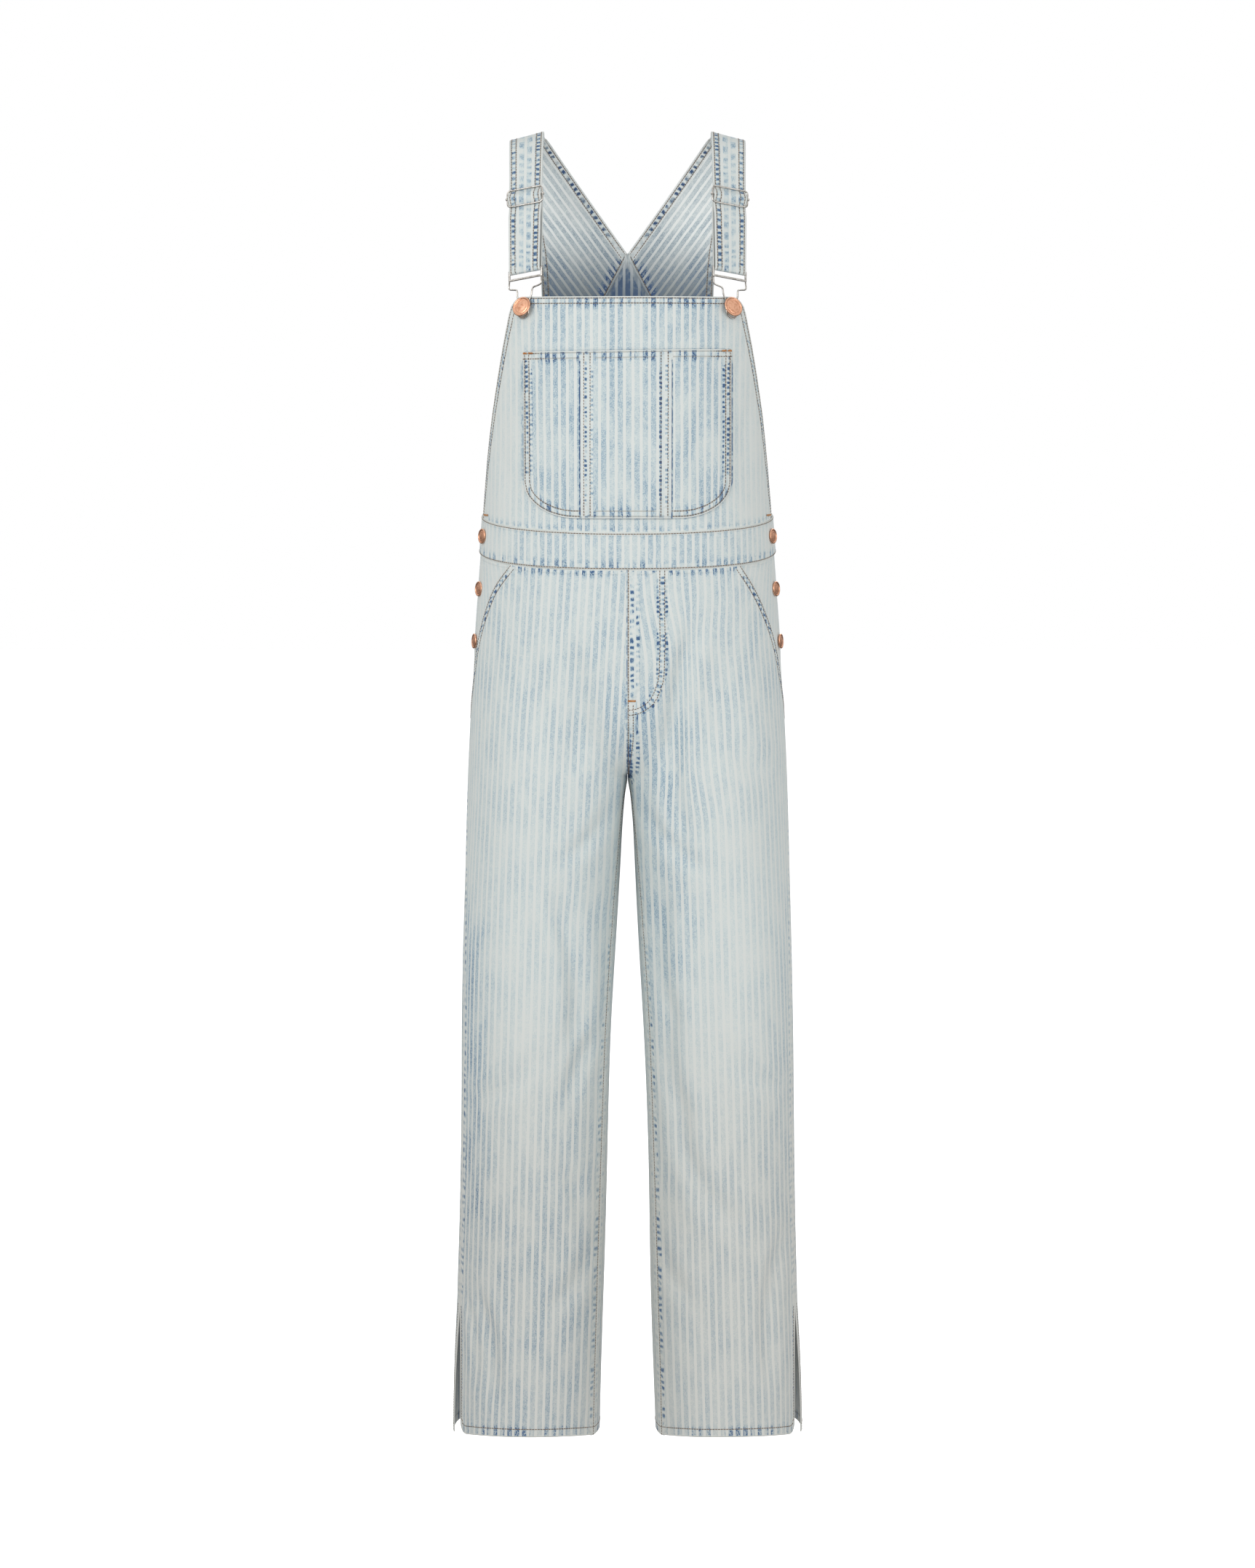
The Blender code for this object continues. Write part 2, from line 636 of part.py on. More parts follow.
def strap_frame(run):
    """Middle, half-width vector, downward direction and outward normal of the right strap."""
    step = 0.5
    middle = Vector((STRAP_X, strap_run.at("y", run), strap_run.at("z", run)))
    before = Vector((STRAP_X, strap_run.at("y", run - step), strap_run.at("z", run - step)))
    after = Vector((STRAP_X, strap_run.at("y", run + step), strap_run.at("z", run + step)))
    half = Vector([float(strap_run.at(name, run)) for name in STRAP_COLUMNS[3:]])
    down = (after - before).normalized()
    outward = down.cross(half).normalized()
    return middle, half, down, outward


def strap_path():
    """The strap's run and its height over its middle surface, end to end.

    It comes over the shoulder, weaves over the slider's bar, folds round the buckle and ends
    behind the slider.
    """
    reach = SLIDER_SIZE[1] / 2.0
    clear = SEAM + 0.5 * STRAP + 0.1
    tuck = SLIDER_LIFT - 0.5 * WIRE - clear
    crown = SLIDER_LIFT + 0.5 * BAR_WIRE + clear
    under = SLIDER_LIFT - 0.5 * BAR_WIRE - clear
    path = [(run, 0.0) for run in (1.2, 8, 15, 21, 27, 33, 39, 45, 52, 60, 70, 82, 95)]
    path += [(SLIDER_RUN - reach - 8.0, 0.2), (SLIDER_RUN - reach, tuck)]
    path += [(SLIDER_RUN - 6.6, tuck + 0.5), (SLIDER_RUN - 3.0, crown - 0.8), (SLIDER_RUN, crown)]
    path += [(SLIDER_RUN + 3.0, crown - 0.8), (SLIDER_RUN + 6.6, tuck + 0.5)]
    path += [(SLIDER_RUN + reach, tuck)]
    path += [(SLIDER_RUN + reach + 12.0, LAYER_LIFT), (165.0, LAYER_LIFT), (185.0, LAYER_LIFT)]
    for turn in range(90, -91, -30):
        angle = math.radians(turn)
        path.append((LOOP_RUN + LAYER_LIFT * math.cos(angle), LAYER_LIFT * math.sin(angle)))
    path += [(185.0, -LAYER_LIFT), (165.0, -LAYER_LIFT), (SLIDER_RUN + reach + 9.0, -LAYER_LIFT)]
    path += [(SLIDER_RUN + reach, tuck - STRAP - 0.6), (SLIDER_RUN + 5.0, under - 1.6)]
    path += [(SLIDER_RUN + 2.0, under - 0.2), (SLIDER_RUN - 1.5, under)]
    return path


def strap(side):
    """One strap, from its seam behind the shoulder to its end behind the slider."""
    path = strap_path()

    def place(s, t):
        points = []
        for across, down in zip(s, t):
            run, lift = path[round(down * (len(path) - 1))]
            middle, half, _, outward = strap_frame(run)
            points.append(middle + half * (2.0 * across - 1.0) + outward * (lift - 0.5 * CLOTH))
        return np.array([tuple(point) for point in points]) * np.array([SIDES[side], 1.0, 1.0])

    bm = sheet(2, len(path) - 1, place, (0.0, 0.0, 1.0))
    return wall("strap_" + side, bm, STRAP, centred=True)


def wire(points, width, flat_normal, closed=False, sides=6):
    """A round wire along points that lie near one flat plane with the given normal."""
    bm = bmesh.new()
    rings = []
    count = len(points)
    for i, point in enumerate(points):
        before = points[i - 1] if closed or i > 0 else point
        after = points[(i + 1) % count] if closed or i < count - 1 else point
        along = (after - before).normalized()
        side = along.cross(flat_normal).normalized()
        turn = Matrix((side, along.cross(side), along)).transposed().to_4x4()
        ring = bmesh.ops.create_circle(
            bm, segments=sides, radius=0.5 * width, matrix=Matrix.Translation(point) @ turn)
        rings.append(list({edge for vert in ring["verts"] for edge in vert.link_edges}))
    pairs = list(zip(rings, rings[1:] + rings[:1])) if closed else list(zip(rings, rings[1:]))
    for first, second in pairs:
        bmesh.ops.bridge_loops(bm, edges=first + second)
    if not closed:
        bmesh.ops.holes_fill(bm, edges=rings[0] + rings[-1], sides=0)
    bmesh.ops.recalc_face_normals(bm, faces=bm.faces)
    return bm


def rounded_path(corners, radius, steps=3):
    """Points of a path whose inner corners are cut round by a radius."""
    points = [Vector(corners[0])]
    for before, corner, after in zip(corners, corners[1:], corners[2:]):
        before, corner, after = Vector(before), Vector(corner), Vector(after)
        cut = min(radius, 0.45 * (before - corner).length, 0.45 * (after - corner).length)
        start = corner + (before - corner).normalized() * cut
        end = corner + (after - corner).normalized() * cut
        for i in range(steps + 1):
            t = i / steps
            points.append(start * (1 - t) ** 2 + corner * (2 * t * (1 - t)) + end * t**2)
    return points + [Vector(corners[-1])]


def hardware_frame(run, lift):
    """Place and turn of a flat metal piece on the right strap: x across, y down, z outward."""
    middle, half, down, outward = strap_frame(run)
    across = half.normalized()
    downward = (down - across * down.dot(across)).normalized()
    turn = Matrix((across, downward, across.cross(downward))).transposed().to_4x4()
    if across.cross(downward).dot(outward) < 0.0:
        turn = Matrix((across, downward, -across.cross(downward))).transposed().to_4x4()
    return Matrix.Translation(middle + outward * (lift - 0.5 * CLOTH)) @ turn


def finish_side(bm, frame, side):
    """Set a flat piece in its frame on one side of the garment, with its faces outward."""
    bmesh.ops.transform(bm, matrix=Matrix.Diagonal((SIDES[side], 1.0, 1.0, 1.0)) @ frame, verts=bm.verts)
    bmesh.ops.recalc_face_normals(bm, faces=bm.faces)


def join(base, extra):
    """Unite a closed piece with a base; the extra object itself is not part of the model."""
    extra.hide_render = True
    extra.display_type = "WIRE"
    union = base.modifiers.new("join", "BOOLEAN")
    union.operation = "UNION"
    union.object = extra


def slider(side):
    """The wire slider: a rounded frame with a bar crimped to its two sides."""
    frame = hardware_frame(SLIDER_RUN, SLIDER_LIFT)
    wide, tall = 0.5 * SLIDER_SIZE[0], 0.5 * SLIDER_SIZE[1]
    corners = [(0, -tall), (wide, -tall), (wide, tall), (-wide, tall), (-wide, -tall), (0, -tall)]
    outline = rounded_path([(x, y, 0.0) for x, y in corners], SLIDER_CORNER)[:-1]
    flat = Vector((0.0, 0.0, 1.0))
    bm = wire(outline, WIRE, flat, closed=True)
    finish_side(bm, frame, side)
    made = add_object("slider_" + side, bm, NICKEL)
    bm = wire([Vector((-wide, 0.0, 0.0)), Vector((wide, 0.0, 0.0))], BAR_WIRE, flat)
    finish_side(bm, frame, side)
    join(made, add_object("slider_bar_" + side, bm, NICKEL))
    for end in ("inner", "outer"):
        bm = bmesh.new()
        reach = wide + 0.9 if end == "outer" else -wide - 0.9
        at = Matrix.Translation((reach, 0.0, 0.0))
        bmesh.ops.create_uvsphere(bm, u_segments=8, v_segments=6, radius=0.5 * BALL, matrix=at)
        finish_side(bm, frame, side)
        join(made, add_object("slider_ball_%s_%s" % (end, side), bm, NICKEL))
    return made


def buckle(side):
    """The flat buckle frame: its upper bar lies in the strap's fold, its lower bar shows."""
    frame = hardware_frame(BAR_RUN, 0.0)
    upper = LOOP_RUN - BAR_RUN
    half_bar = 0.5 * BUCKLE_BAR
    columns = (-BUCKLE_HALF, BUCKLE_SIDE - BUCKLE_HALF, BUCKLE_HALF - BUCKLE_SIDE, BUCKLE_HALF)
    rows = (upper - half_bar, upper + half_bar, -half_bar, half_bar)
    bm = bmesh.new()
    bmesh.ops.create_grid(bm, x_segments=3, y_segments=3, size=1.5)
    for vert in bm.verts:
        vert.co = (columns[round(vert.co.x + 1.5)], rows[round(vert.co.y + 1.5)], -0.5 * BUCKLE_DEPTH)
    middle = [face for face in bm.faces if all(len(edge.link_faces) == 2 for edge in face.edges)]
    bmesh.ops.delete(bm, geom=middle, context="FACES")
    made = bmesh.ops.extrude_face_region(bm, geom=list(bm.faces))
    moved = [item for item in made["geom"] if isinstance(item, bmesh.types.BMVert)]
    bmesh.ops.translate(bm, vec=(0.0, 0.0, BUCKLE_DEPTH), verts=moved)
    finish_side(bm, frame, side)
    return add_object("buckle_" + side, bm, NICKEL)


def button_frame(base, axis):
    """Place and turn of a button: its axis stands out of the cloth at its base."""
    out = Vector(axis).normalized()
    across = out.cross(Vector((0.0, 0.0, 1.0))).normalized()
    turn = Matrix((across, out.cross(across), out)).transposed().to_4x4()
    return Matrix.Translation(base) @ turn


def button(name, side, frame, sizes, sides=14):
    """A tack button: a domed cap on a shank, turned about its axis."""
    cap, thick, shank, stand = sizes["cap"], sizes["thick"], sizes["shank"], sizes["stand"]
    profile = (
        (0.0, sizes["foot"]),
        (shank, sizes["foot"]),
        (shank, stand),
        (cap - 0.6, stand),
        (cap, stand + 0.4 * thick),
        (cap - 1.2, stand + 0.85 * thick),
        (0.55 * cap, stand + thick),
        (0.0, stand + thick),
    )
    bm = bmesh.new()
    verts = [bm.verts.new((x, 0.0, z)) for x, z in profile]
    edges = [bm.edges.new(pair) for pair in zip(verts, verts[1:])]
    bmesh.ops.spin(
        bm, geom=verts + edges, axis=(0.0, 0.0, 1.0), cent=(0.0, 0.0, 0.0), dvec=(0.0, 0.0, 0.0),
        angle=2.0 * math.pi, steps=sides, use_merge=True, use_normal_flip=False, use_duplicate=False)
    bmesh.ops.remove_doubles(bm, verts=bm.verts, dist=0.001)
    finish_side(bm, frame, side)
    return add_object(name, bm, COPPER)


def bib_button_base():
    """The point of the bib that carries the right bib button."""
    x, z = BIB_BUTTON_AT
    return Vector(body_point(body_angle(np.float64(x), z), np.float64(z)))


def hook(side):
    """The wire hook from the buckle's lower bar down round the button's shank."""
    axis = Vector(BIB_BUTTON_AXIS).normalized()
    foot = bib_button_base() + axis * HOOK_STAND
    frame = hardware_frame(BAR_RUN, 0.0)
    top = frame.translation
    across = (frame.to_3x3() @ Vector((1.0, 0.0, 0.0))).normalized()
    down = foot - top - across * (foot - top).dot(across)
    length = down.length
    down.normalize()
    lean = (foot - top).dot(across) / length
    flat = across.cross(down).normalized()

    def place(p, q):
        return top + across * (p + lean * q) + down * q

    half = BUCKLE_HALF - 0.5 * HOOK_WIRE
    start = 0.5 * BUCKLE_BAR + SEAM
    loop = length + HOOK_EYE_DROP
    right = [(half, start), (half, 9.5), (HOOK_NECK, 11.5), (HOOK_NECK - 0.4, 19.0)]
    right += [(HOOK_EYE - 0.6, 26.0), (HOOK_EYE, loop - 1.0)]
    eye = [(HOOK_EYE * math.cos(a), loop + HOOK_EYE * math.sin(a))
           for a in np.linspace(math.radians(25.0), math.radians(155.0), 5)]
    corners = right + eye + [(-p, q) for p, q in reversed(right)]
    path = rounded_path([place(p, q) for p, q in corners], 2.6, steps=1)
    bm = wire(path, HOOK_WIRE, flat)
    if side == "left":
        bmesh.ops.scale(bm, vec=(-1.0, 1.0, 1.0), verts=bm.verts)
        bmesh.ops.recalc_face_normals(bm, faces=bm.faces)
    return add_object("hook_" + side, bm, NICKEL)


def bib_button(side):
    """The large button that the hook is caught on."""
    frame = button_frame(bib_button_base(), BIB_BUTTON_AXIS)
    return button("bib_button_" + side, side, frame, BIB_BUTTON, sides=16)


def side_buttons(side):
    """The three buttons down the side opening, the first of them on the waistband."""
    for number, (share, z) in enumerate(SIDE_BUTTONS, start=1):
        s, height = np.array([share]), np.array([z])
        point = trouser_point("front", s, height)
        across = trouser_point("front", s + 0.01, height) - trouser_point("front", s - 0.01, height)
        up = trouser_point("front", s, height + 2.0) - trouser_point("front", s, height - 2.0)
        out = np.cross(up, across)[0]
        out = Vector(out).normalized()
        if out.x < 0.0:
            out.negate()
        sunk = 0.0 if number == 1 else STEP
        frame = button_frame(Vector(point[0]) - out * sunk, out)
        button("side_button_%s_%d" % (side, number), side, frame, SIDE_BUTTON)


def build():
    """Make every piece of the garment."""
    clear_objects()
    for part in ("front", "back"):
        waistband(part)
    bib()
    bib_pocket()
    back_bib()
    for side in SIDES:
        leg_panel(side, "front")
        leg_panel(side, "back")
        pocket_facing(side)
        button_stand(side)
        back_yoke(side)
        strap(side)
        slider(side)
        buckle(side)
        hook(side)
        bib_button(side)
        side_buttons(side)


build()
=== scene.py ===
"""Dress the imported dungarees: bleached stripe denim, sewing, copper buttons and nickel wire."""
import logging
import math
from dataclasses import dataclass, field
from enum import Enum
from typing import Callable, Iterable, Optional, Sequence

import bmesh
import bpy
import numpy as np
from mathutils import Matrix, Vector


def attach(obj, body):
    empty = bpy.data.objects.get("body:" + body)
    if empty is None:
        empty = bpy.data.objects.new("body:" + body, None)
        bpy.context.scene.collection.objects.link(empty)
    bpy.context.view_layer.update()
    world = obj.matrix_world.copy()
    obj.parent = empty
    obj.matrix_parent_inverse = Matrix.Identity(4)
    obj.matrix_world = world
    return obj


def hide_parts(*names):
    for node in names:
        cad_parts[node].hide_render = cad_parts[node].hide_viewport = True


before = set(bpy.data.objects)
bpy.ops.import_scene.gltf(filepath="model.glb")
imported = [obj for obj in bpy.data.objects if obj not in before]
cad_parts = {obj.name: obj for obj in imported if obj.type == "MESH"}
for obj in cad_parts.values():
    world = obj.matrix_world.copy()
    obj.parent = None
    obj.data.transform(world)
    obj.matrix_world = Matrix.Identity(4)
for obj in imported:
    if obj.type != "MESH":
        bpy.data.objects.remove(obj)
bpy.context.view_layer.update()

log = logging.getLogger("dungarees")
Array = np.ndarray
MM = 0.001
BODY = "root"

CLOTH = 1.2             # one layer of denim, in millimetres as all sizes below
BAND = 2.0
STRAP = 1.6
LAP = 3.0               # how far a piece is tucked under the one that is sewn over it
PANEL_WIDTH = 250.0     # about that of a leg panel or half a waistband: turns millimetres into shares
THREAD_STAND = 0.12     # how far a row of thread stands off the cloth
TACK_GAP, TACK_STAND, TACK_LENGTH, TACK_WIDTH = 0.8, 0.25, 1.5, 1.3
FAR = 60.0              # a distance at which no seam and no edge counts
ABSENT = -50.0          # place of a row or mark that a seam doesn't have
RUN_STEP = 173.0        # start of each seam's own stretch of noise
ALONG = np.linspace(0.0, 1.0, 120)      # shares of a seam's length at which it is followed
BIB_TOP = -182.0
BACK_APEX = -128.0
BAND_TOP, BAND_TOP_RISE = -434.4, 15.5
BAND_FOOT, BAND_FOOT_RISE = -473.4, 15.4
BACK_BAND_TOP, BACK_BAND_FOOT = -418.0, -452.0
FLY_END, SEAT_TURN, CROTCH = -622.0, -540.0, -703.0
HEM, HEM_FRONT_LIFT, HEM_LIFT_TOP, SLIT_TOP = -1459.0, 12.0, -1390.0, -1309.0
BLEND_TOP, BLEND_FOOT, CROTCH_REACH = -530.0, -780.0, 0.30
BODY_POWER, LEG_POWER, THIGH_POWER, THIGH_END = 2.2, 2.1, 3.0, -860.0
MOUTH_END, OPENING_FOOT, SIDE_LAP, STAND_REACH = -640.0, -600.0, 0.05, 0.11
SLIT_SHARE, SLIT_PULL, SLIT_TUCK_IN, SLIT_FLARE = 0.28, 0.012, 2.0, 4.4
YOKE_FOOT = -340.0
STRIPE = 8.5            # from one blue stripe to the next


class Side(Enum):
    """The two halves of the garment; the value is the sign of x."""

    LEFT = -1.0
    RIGHT = 1.0

    @property
    def word(self) -> str:
        """The side's name as the nodes spell it."""
        return self.name.lower()


class Part(Enum):
    """Front or back; the value is the sign of y that faces outwards."""

    FRONT = -1.0
    BACK = 1.0

    @property
    def word(self) -> str:
        """The part's name as the nodes spell it."""
        return self.name.lower()


def ease(value: Array) -> Array:
    """Smooth step from 0 to 1."""
    value = np.clip(value, 0.0, 1.0)
    return value * value * (3.0 - 2.0 * value)


@dataclass(frozen=True)
class SizeTable:
    """Sizes against a height or a run, read along a smooth curve."""

    columns: tuple[str, ...]
    rows: tuple[tuple[float, ...], ...]

    def at(self, name: str, key: Array) -> Array:
        """Read one column.

        Args:
            name: the column.
            key: where to read it.

        Returns:
            The column's values there.
        """
        table = np.array(sorted(self.rows), dtype=float)
        keys, value = table[:, 0], table[:, self.columns.index(name)]
        slope = np.gradient(value, keys)
        key = np.clip(np.asarray(key, dtype=float), keys[0], keys[-1])
        low = np.clip(np.searchsorted(keys, key) - 1, 0, len(keys) - 2)
        span = keys[low + 1] - keys[low]
        t = (key - keys[low]) / span
        start = value[low] * (2 * t**3 - 3 * t**2 + 1) + slope[low] * span * (t**3 - 2 * t**2 + t)
        return start + value[low + 1] * (3 * t**2 - 2 * t**3) + slope[low + 1] * span * (t**3 - t**2)


TRUNK = SizeTable(("z", "half_width", "front", "back"), (
    (0.0, 150.0, 40.0, 10.0), (-14.0, 150.0, 48.0, 42.0), (-30.0, 150.0, 56.0, 62.0),
    (-60.0, 150.0, 68.0, 85.0), (-100.0, 150.5, 82.0, 101.0), (-128.0, 151.0, 90.0, 107.0),
    (-182.0, 152.0, 101.5, 112.0), (-205.0, 152.6, 105.8, 112.6), (-232.0, 153.3, 109.3, 113.0),
    (-260.0, 154.0, 112.0, 113.0), (-340.0, 157.0, 116.0, 109.0), (-423.0, 160.5, 116.0, 108.0),
    (-465.0, 163.8, 117.0, 112.0), (-520.0, 168.0, 118.0, 123.0), (-560.0, 171.0, 118.0, 131.0),
    (-600.0, 172.8, 116.0, 136.0), (-650.0, 175.5, 113.0, 138.0), (-703.0, 178.3, 110.0, 134.0),
    (-780.0, 181.0, 106.0, 124.0)))
LEG = SizeTable(("z", "inner", "outer", "front", "back"), (
    (-520.0, 0.0, 168.0, -113.0, 124.0), (-600.0, -2.0, 172.8, -110.0, 128.0),
    (-703.0, -2.0, 178.3, -104.0, 118.0), (-727.0, 2.2, 179.2, -101.5, 112.9),
    (-753.0, 4.9, 180.1, -99.0, 108.0), (-819.0, 9.0, 182.1, -95.0, 99.0),
    (-885.0, 12.7, 184.1, -92.0, 93.0), (-985.0, 17.7, 186.4, -88.0, 87.0),
    (-1085.0, 21.0, 188.2, -84.0, 84.0), (-1186.0, 24.0, 190.5, -81.0, 82.0),
    (-1288.0, 27.0, 193.3, -80.0, 81.0), (-1390.0, 30.0, 195.6, -80.0, 81.0),
    (-1459.0, 31.7, 196.6, -80.0, 81.0)))
LEG_SEAMS = SizeTable(("z", "inseam", "side"), (
    (-600.0, -77.0, 90.0), (-703.0, -77.0, 88.0), (-800.0, -73.0, 81.0), (-950.0, -68.0, 74.0),
    (-1150.0, -66.0, 72.0), (-1459.0, -66.0, 72.0)))
MOUTH = SizeTable(("z", "right", "left"), (
    (-473.4, 0.515, 0.545), (-502.0, 0.615, 0.665), (-531.0, 0.705, 0.75), (-561.0, 0.79, 0.825),
    (-601.0, 0.89, 0.91), (-640.0, 1.0, 1.0)))
CREASE = SizeTable(("z", "x"), ((-470.0, 78.0), (-703.0, 92.0), (-985.0, 102.0), (-1459.0, 115.6)))
BIB_SIDE = SizeTable(("z", "x"), (
    (-182.0, 124.0), (-205.0, 128.9), (-236.0, 135.4), (-268.0, 141.2), (-300.0, 146.2),
    (-332.0, 150.3), (-364.0, 153.8), (-396.0, 156.9), (-434.4, 160.2)))
BACK_SIDE = SizeTable(("z", "x"), (
    (-20.0, 128.0), (-60.0, 116.0), (-120.0, 101.0), (-185.0, 96.5), (-240.0, 96.0),
    (-290.0, 101.0), (-340.0, 112.0), (-380.0, 130.0), (-405.0, 146.0), (-424.0, 157.5)))
STRAP_RUN = SizeTable(("run", "y", "z", "half_x", "half_y", "half_z"), (
    (0.0, 31.3, -17.0, 18.0, -2.6, -3.5), (18.0, 15.0, -8.6, 18.4, -1.0, -4.4),
    (33.0, 0.0, -5.6, 18.6, 0.6, -4.8), (50.0, -16.0, -10.5, 18.6, 2.4, -4.4),
    (71.0, -30.5, -26.0, 18.3, 4.2, -3.6), (98.0, -43.0, -50.0, 17.9, 5.8, -3.0),
    (125.5, -52.0, -76.0, 17.6, 6.8, -2.7), (167.0, -63.0, -116.0, 17.0, 8.0, -2.7),
    (201.0, -71.6, -149.0, 16.5, 9.0, -2.7), (216.0, -75.2, -163.5, 16.5, 9.0, -2.7)))
# The mock fly's outer row: x, z, and how its inner row is shifted there for each millimetre between them
FLY_ROW = ((34.8, -474.0, 1.0, 0.0), (34.8, -520.0, 1.0, 0.0), (34.6, -566.0, 1.0, 0.0),
           (31.8, -596.7, 0.9, -0.5), (21.6, -617.2, 0.5, -0.9), (6.6, -624.9, 0.0, -1.05),
           (0.5, -625.4, 0.0, -1.05))
FLY_ROWS_APART = 5.4
FLY_WORN = ((37.6, -478.0), (37.6, -520.0), (37.4, -566.0), (34.2, -598.0), (23.0, -619.6), (6.0, -628.4))
FLY_TACK = (0.0125, -615.4)
# Blue left along the side seam and along the lower inseam of each panel
SEAM_WEAR = {(Part.FRONT, Side.LEFT): (1.0, 0.6), (Part.FRONT, Side.RIGHT): (0.45, 0.95),
             (Part.BACK, Side.LEFT): (0.35, 0.3), (Part.BACK, Side.RIGHT): (0.35, 0.3)}


def held(value: float) -> Array:
    """One value at every share of a seam's length."""
    return np.full(len(ALONG), value)


def hoop(half_width: Array, front: Array, back: Array, angle: Array, power: Array) -> tuple[Array, Array]:
    """Point of a rounded hoop about its middle.

    Args:
        half_width: half of its width.
        front: its depth in front.
        back: its depth behind.
        angle: 0 is the front, a quarter turn the side.
        power: how square it is.

    Returns:
        The x and the y of the points.
    """
    across, along = np.sin(angle), np.cos(angle)
    depth = np.where(along > 0.0, front, back)
    x = half_width * np.sign(across) * np.abs(across) ** (2.0 / power)
    y = -depth * np.sign(along) * np.abs(along) ** (2.0 / power)
    return x, y


def trunk_point(angle: Array, z: Array) -> Array:
    """Point of the upper body at an angle from the centre front."""
    x, y = hoop(TRUNK.at("half_width", z), TRUNK.at("front", z), TRUNK.at("back", z), angle, BODY_POWER)
    return np.stack([x, y, z + 0.0 * x], axis=-1)


def trunk_angle(x: Array, z: Array) -> Array:
    """Angle from the centre front at which a body hoop reaches x."""
    share = np.clip(x / TRUNK.at("half_width", z), -1.0, 1.0)
    return np.arcsin(np.sign(share) * np.abs(share) ** (BODY_POWER / 2.0))


def leg_point(angle: Array, z: Array) -> Array:
    """Point of the right leg's hoop at an angle from its front.

    Args:
        angle: the angle, in radians.
        z: its height.

    Returns:
        The points in millimetres.
    """
    inner, outer = LEG.at("inner", z), LEG.at("outer", z)
    front, back = LEG.at("front", z), LEG.at("back", z)
    middle = 0.5 * (front + back)
    thigh = LEG_POWER + (THIGH_POWER - LEG_POWER) * ease((z - THIGH_END) / (CROTCH - THIGH_END))
    power = np.where(np.sin(angle) < 0.0, thigh, LEG_POWER)
    x, y = hoop(0.5 * (outer - inner), middle - front, back - middle, angle, power)
    x = np.maximum(x + 0.5 * (inner + outer), 0.15)
    return np.stack([x, y + middle, z + 0.0 * x], axis=-1)


def band_top(s: Array) -> Array:
    """Upper waistband seam in front, at a share of the way from the centre to the side."""
    return BAND_TOP + BAND_TOP_RISE * np.abs(s) ** 1.9


def band_foot(s: Array) -> Array:
    """Lower waistband seam in front."""
    return BAND_FOOT + BAND_FOOT_RISE * np.abs(s) ** 2.2


def back_band_top(s: Array) -> Array:
    """Upper waistband seam behind, at a share of the way from the side to the centre."""
    return BAND_TOP + BAND_TOP_RISE + (BACK_BAND_TOP - BAND_TOP - BAND_TOP_RISE) * ease(s)


def back_band_foot(s: Array) -> Array:
    """Lower waistband seam behind."""
    return BAND_FOOT + BAND_FOOT_RISE + (BACK_BAND_FOOT - BAND_FOOT - BAND_FOOT_RISE) * ease(s)


def slit_share(z: Array) -> Array:
    """How far the slit stands open at a height, from 0 at its top to 1 at the hem."""
    return np.sin(0.5 * math.pi * np.clip((SLIT_TOP - z) / (SLIT_TOP - HEM), 0.0, 1.0))


def side_lap(z: Array) -> Array:
    """How far past the side line the front's edge lies at the side opening."""
    return SIDE_LAP * ease((z - MOUTH_END) / (OPENING_FOOT + 12.0 - MOUTH_END))


@dataclass(frozen=True)
class Fold:
    """A soft trough in the cloth, or a ridge where its depth is negative."""

    x0: float
    z0: float
    x1: float
    z1: float
    width: float
    depth: float
    fade: float = 30.0

    def press(self, x: Array, z: Array) -> Array:
        """How deep the fold presses the cloth in at places seen from the front or the back.

        Args:
            x: the places across.
            z: their heights.

        Returns:
            The depths in millimetres.
        """
        run_x, run_z = self.x1 - self.x0, self.z1 - self.z0
        length = math.hypot(run_x, run_z)
        run = ((x - self.x0) * run_x + (z - self.z0) * run_z) / length
        off = ((x - self.x0) * run_z - (z - self.z0) * run_x) / length
        bow = off - 0.06 * length * np.sin(math.pi * np.clip(run / length, 0.0, 1.0))
        ends = ease((np.minimum(run, length - run) + self.fade) / (2.0 * self.fade))
        trough = np.exp(-(bow / self.width) ** 2)
        ridge = np.exp(-((np.abs(bow) - 1.9 * self.width) / self.width) ** 2)
        return self.depth * ends * (trough - 0.3 * ridge)


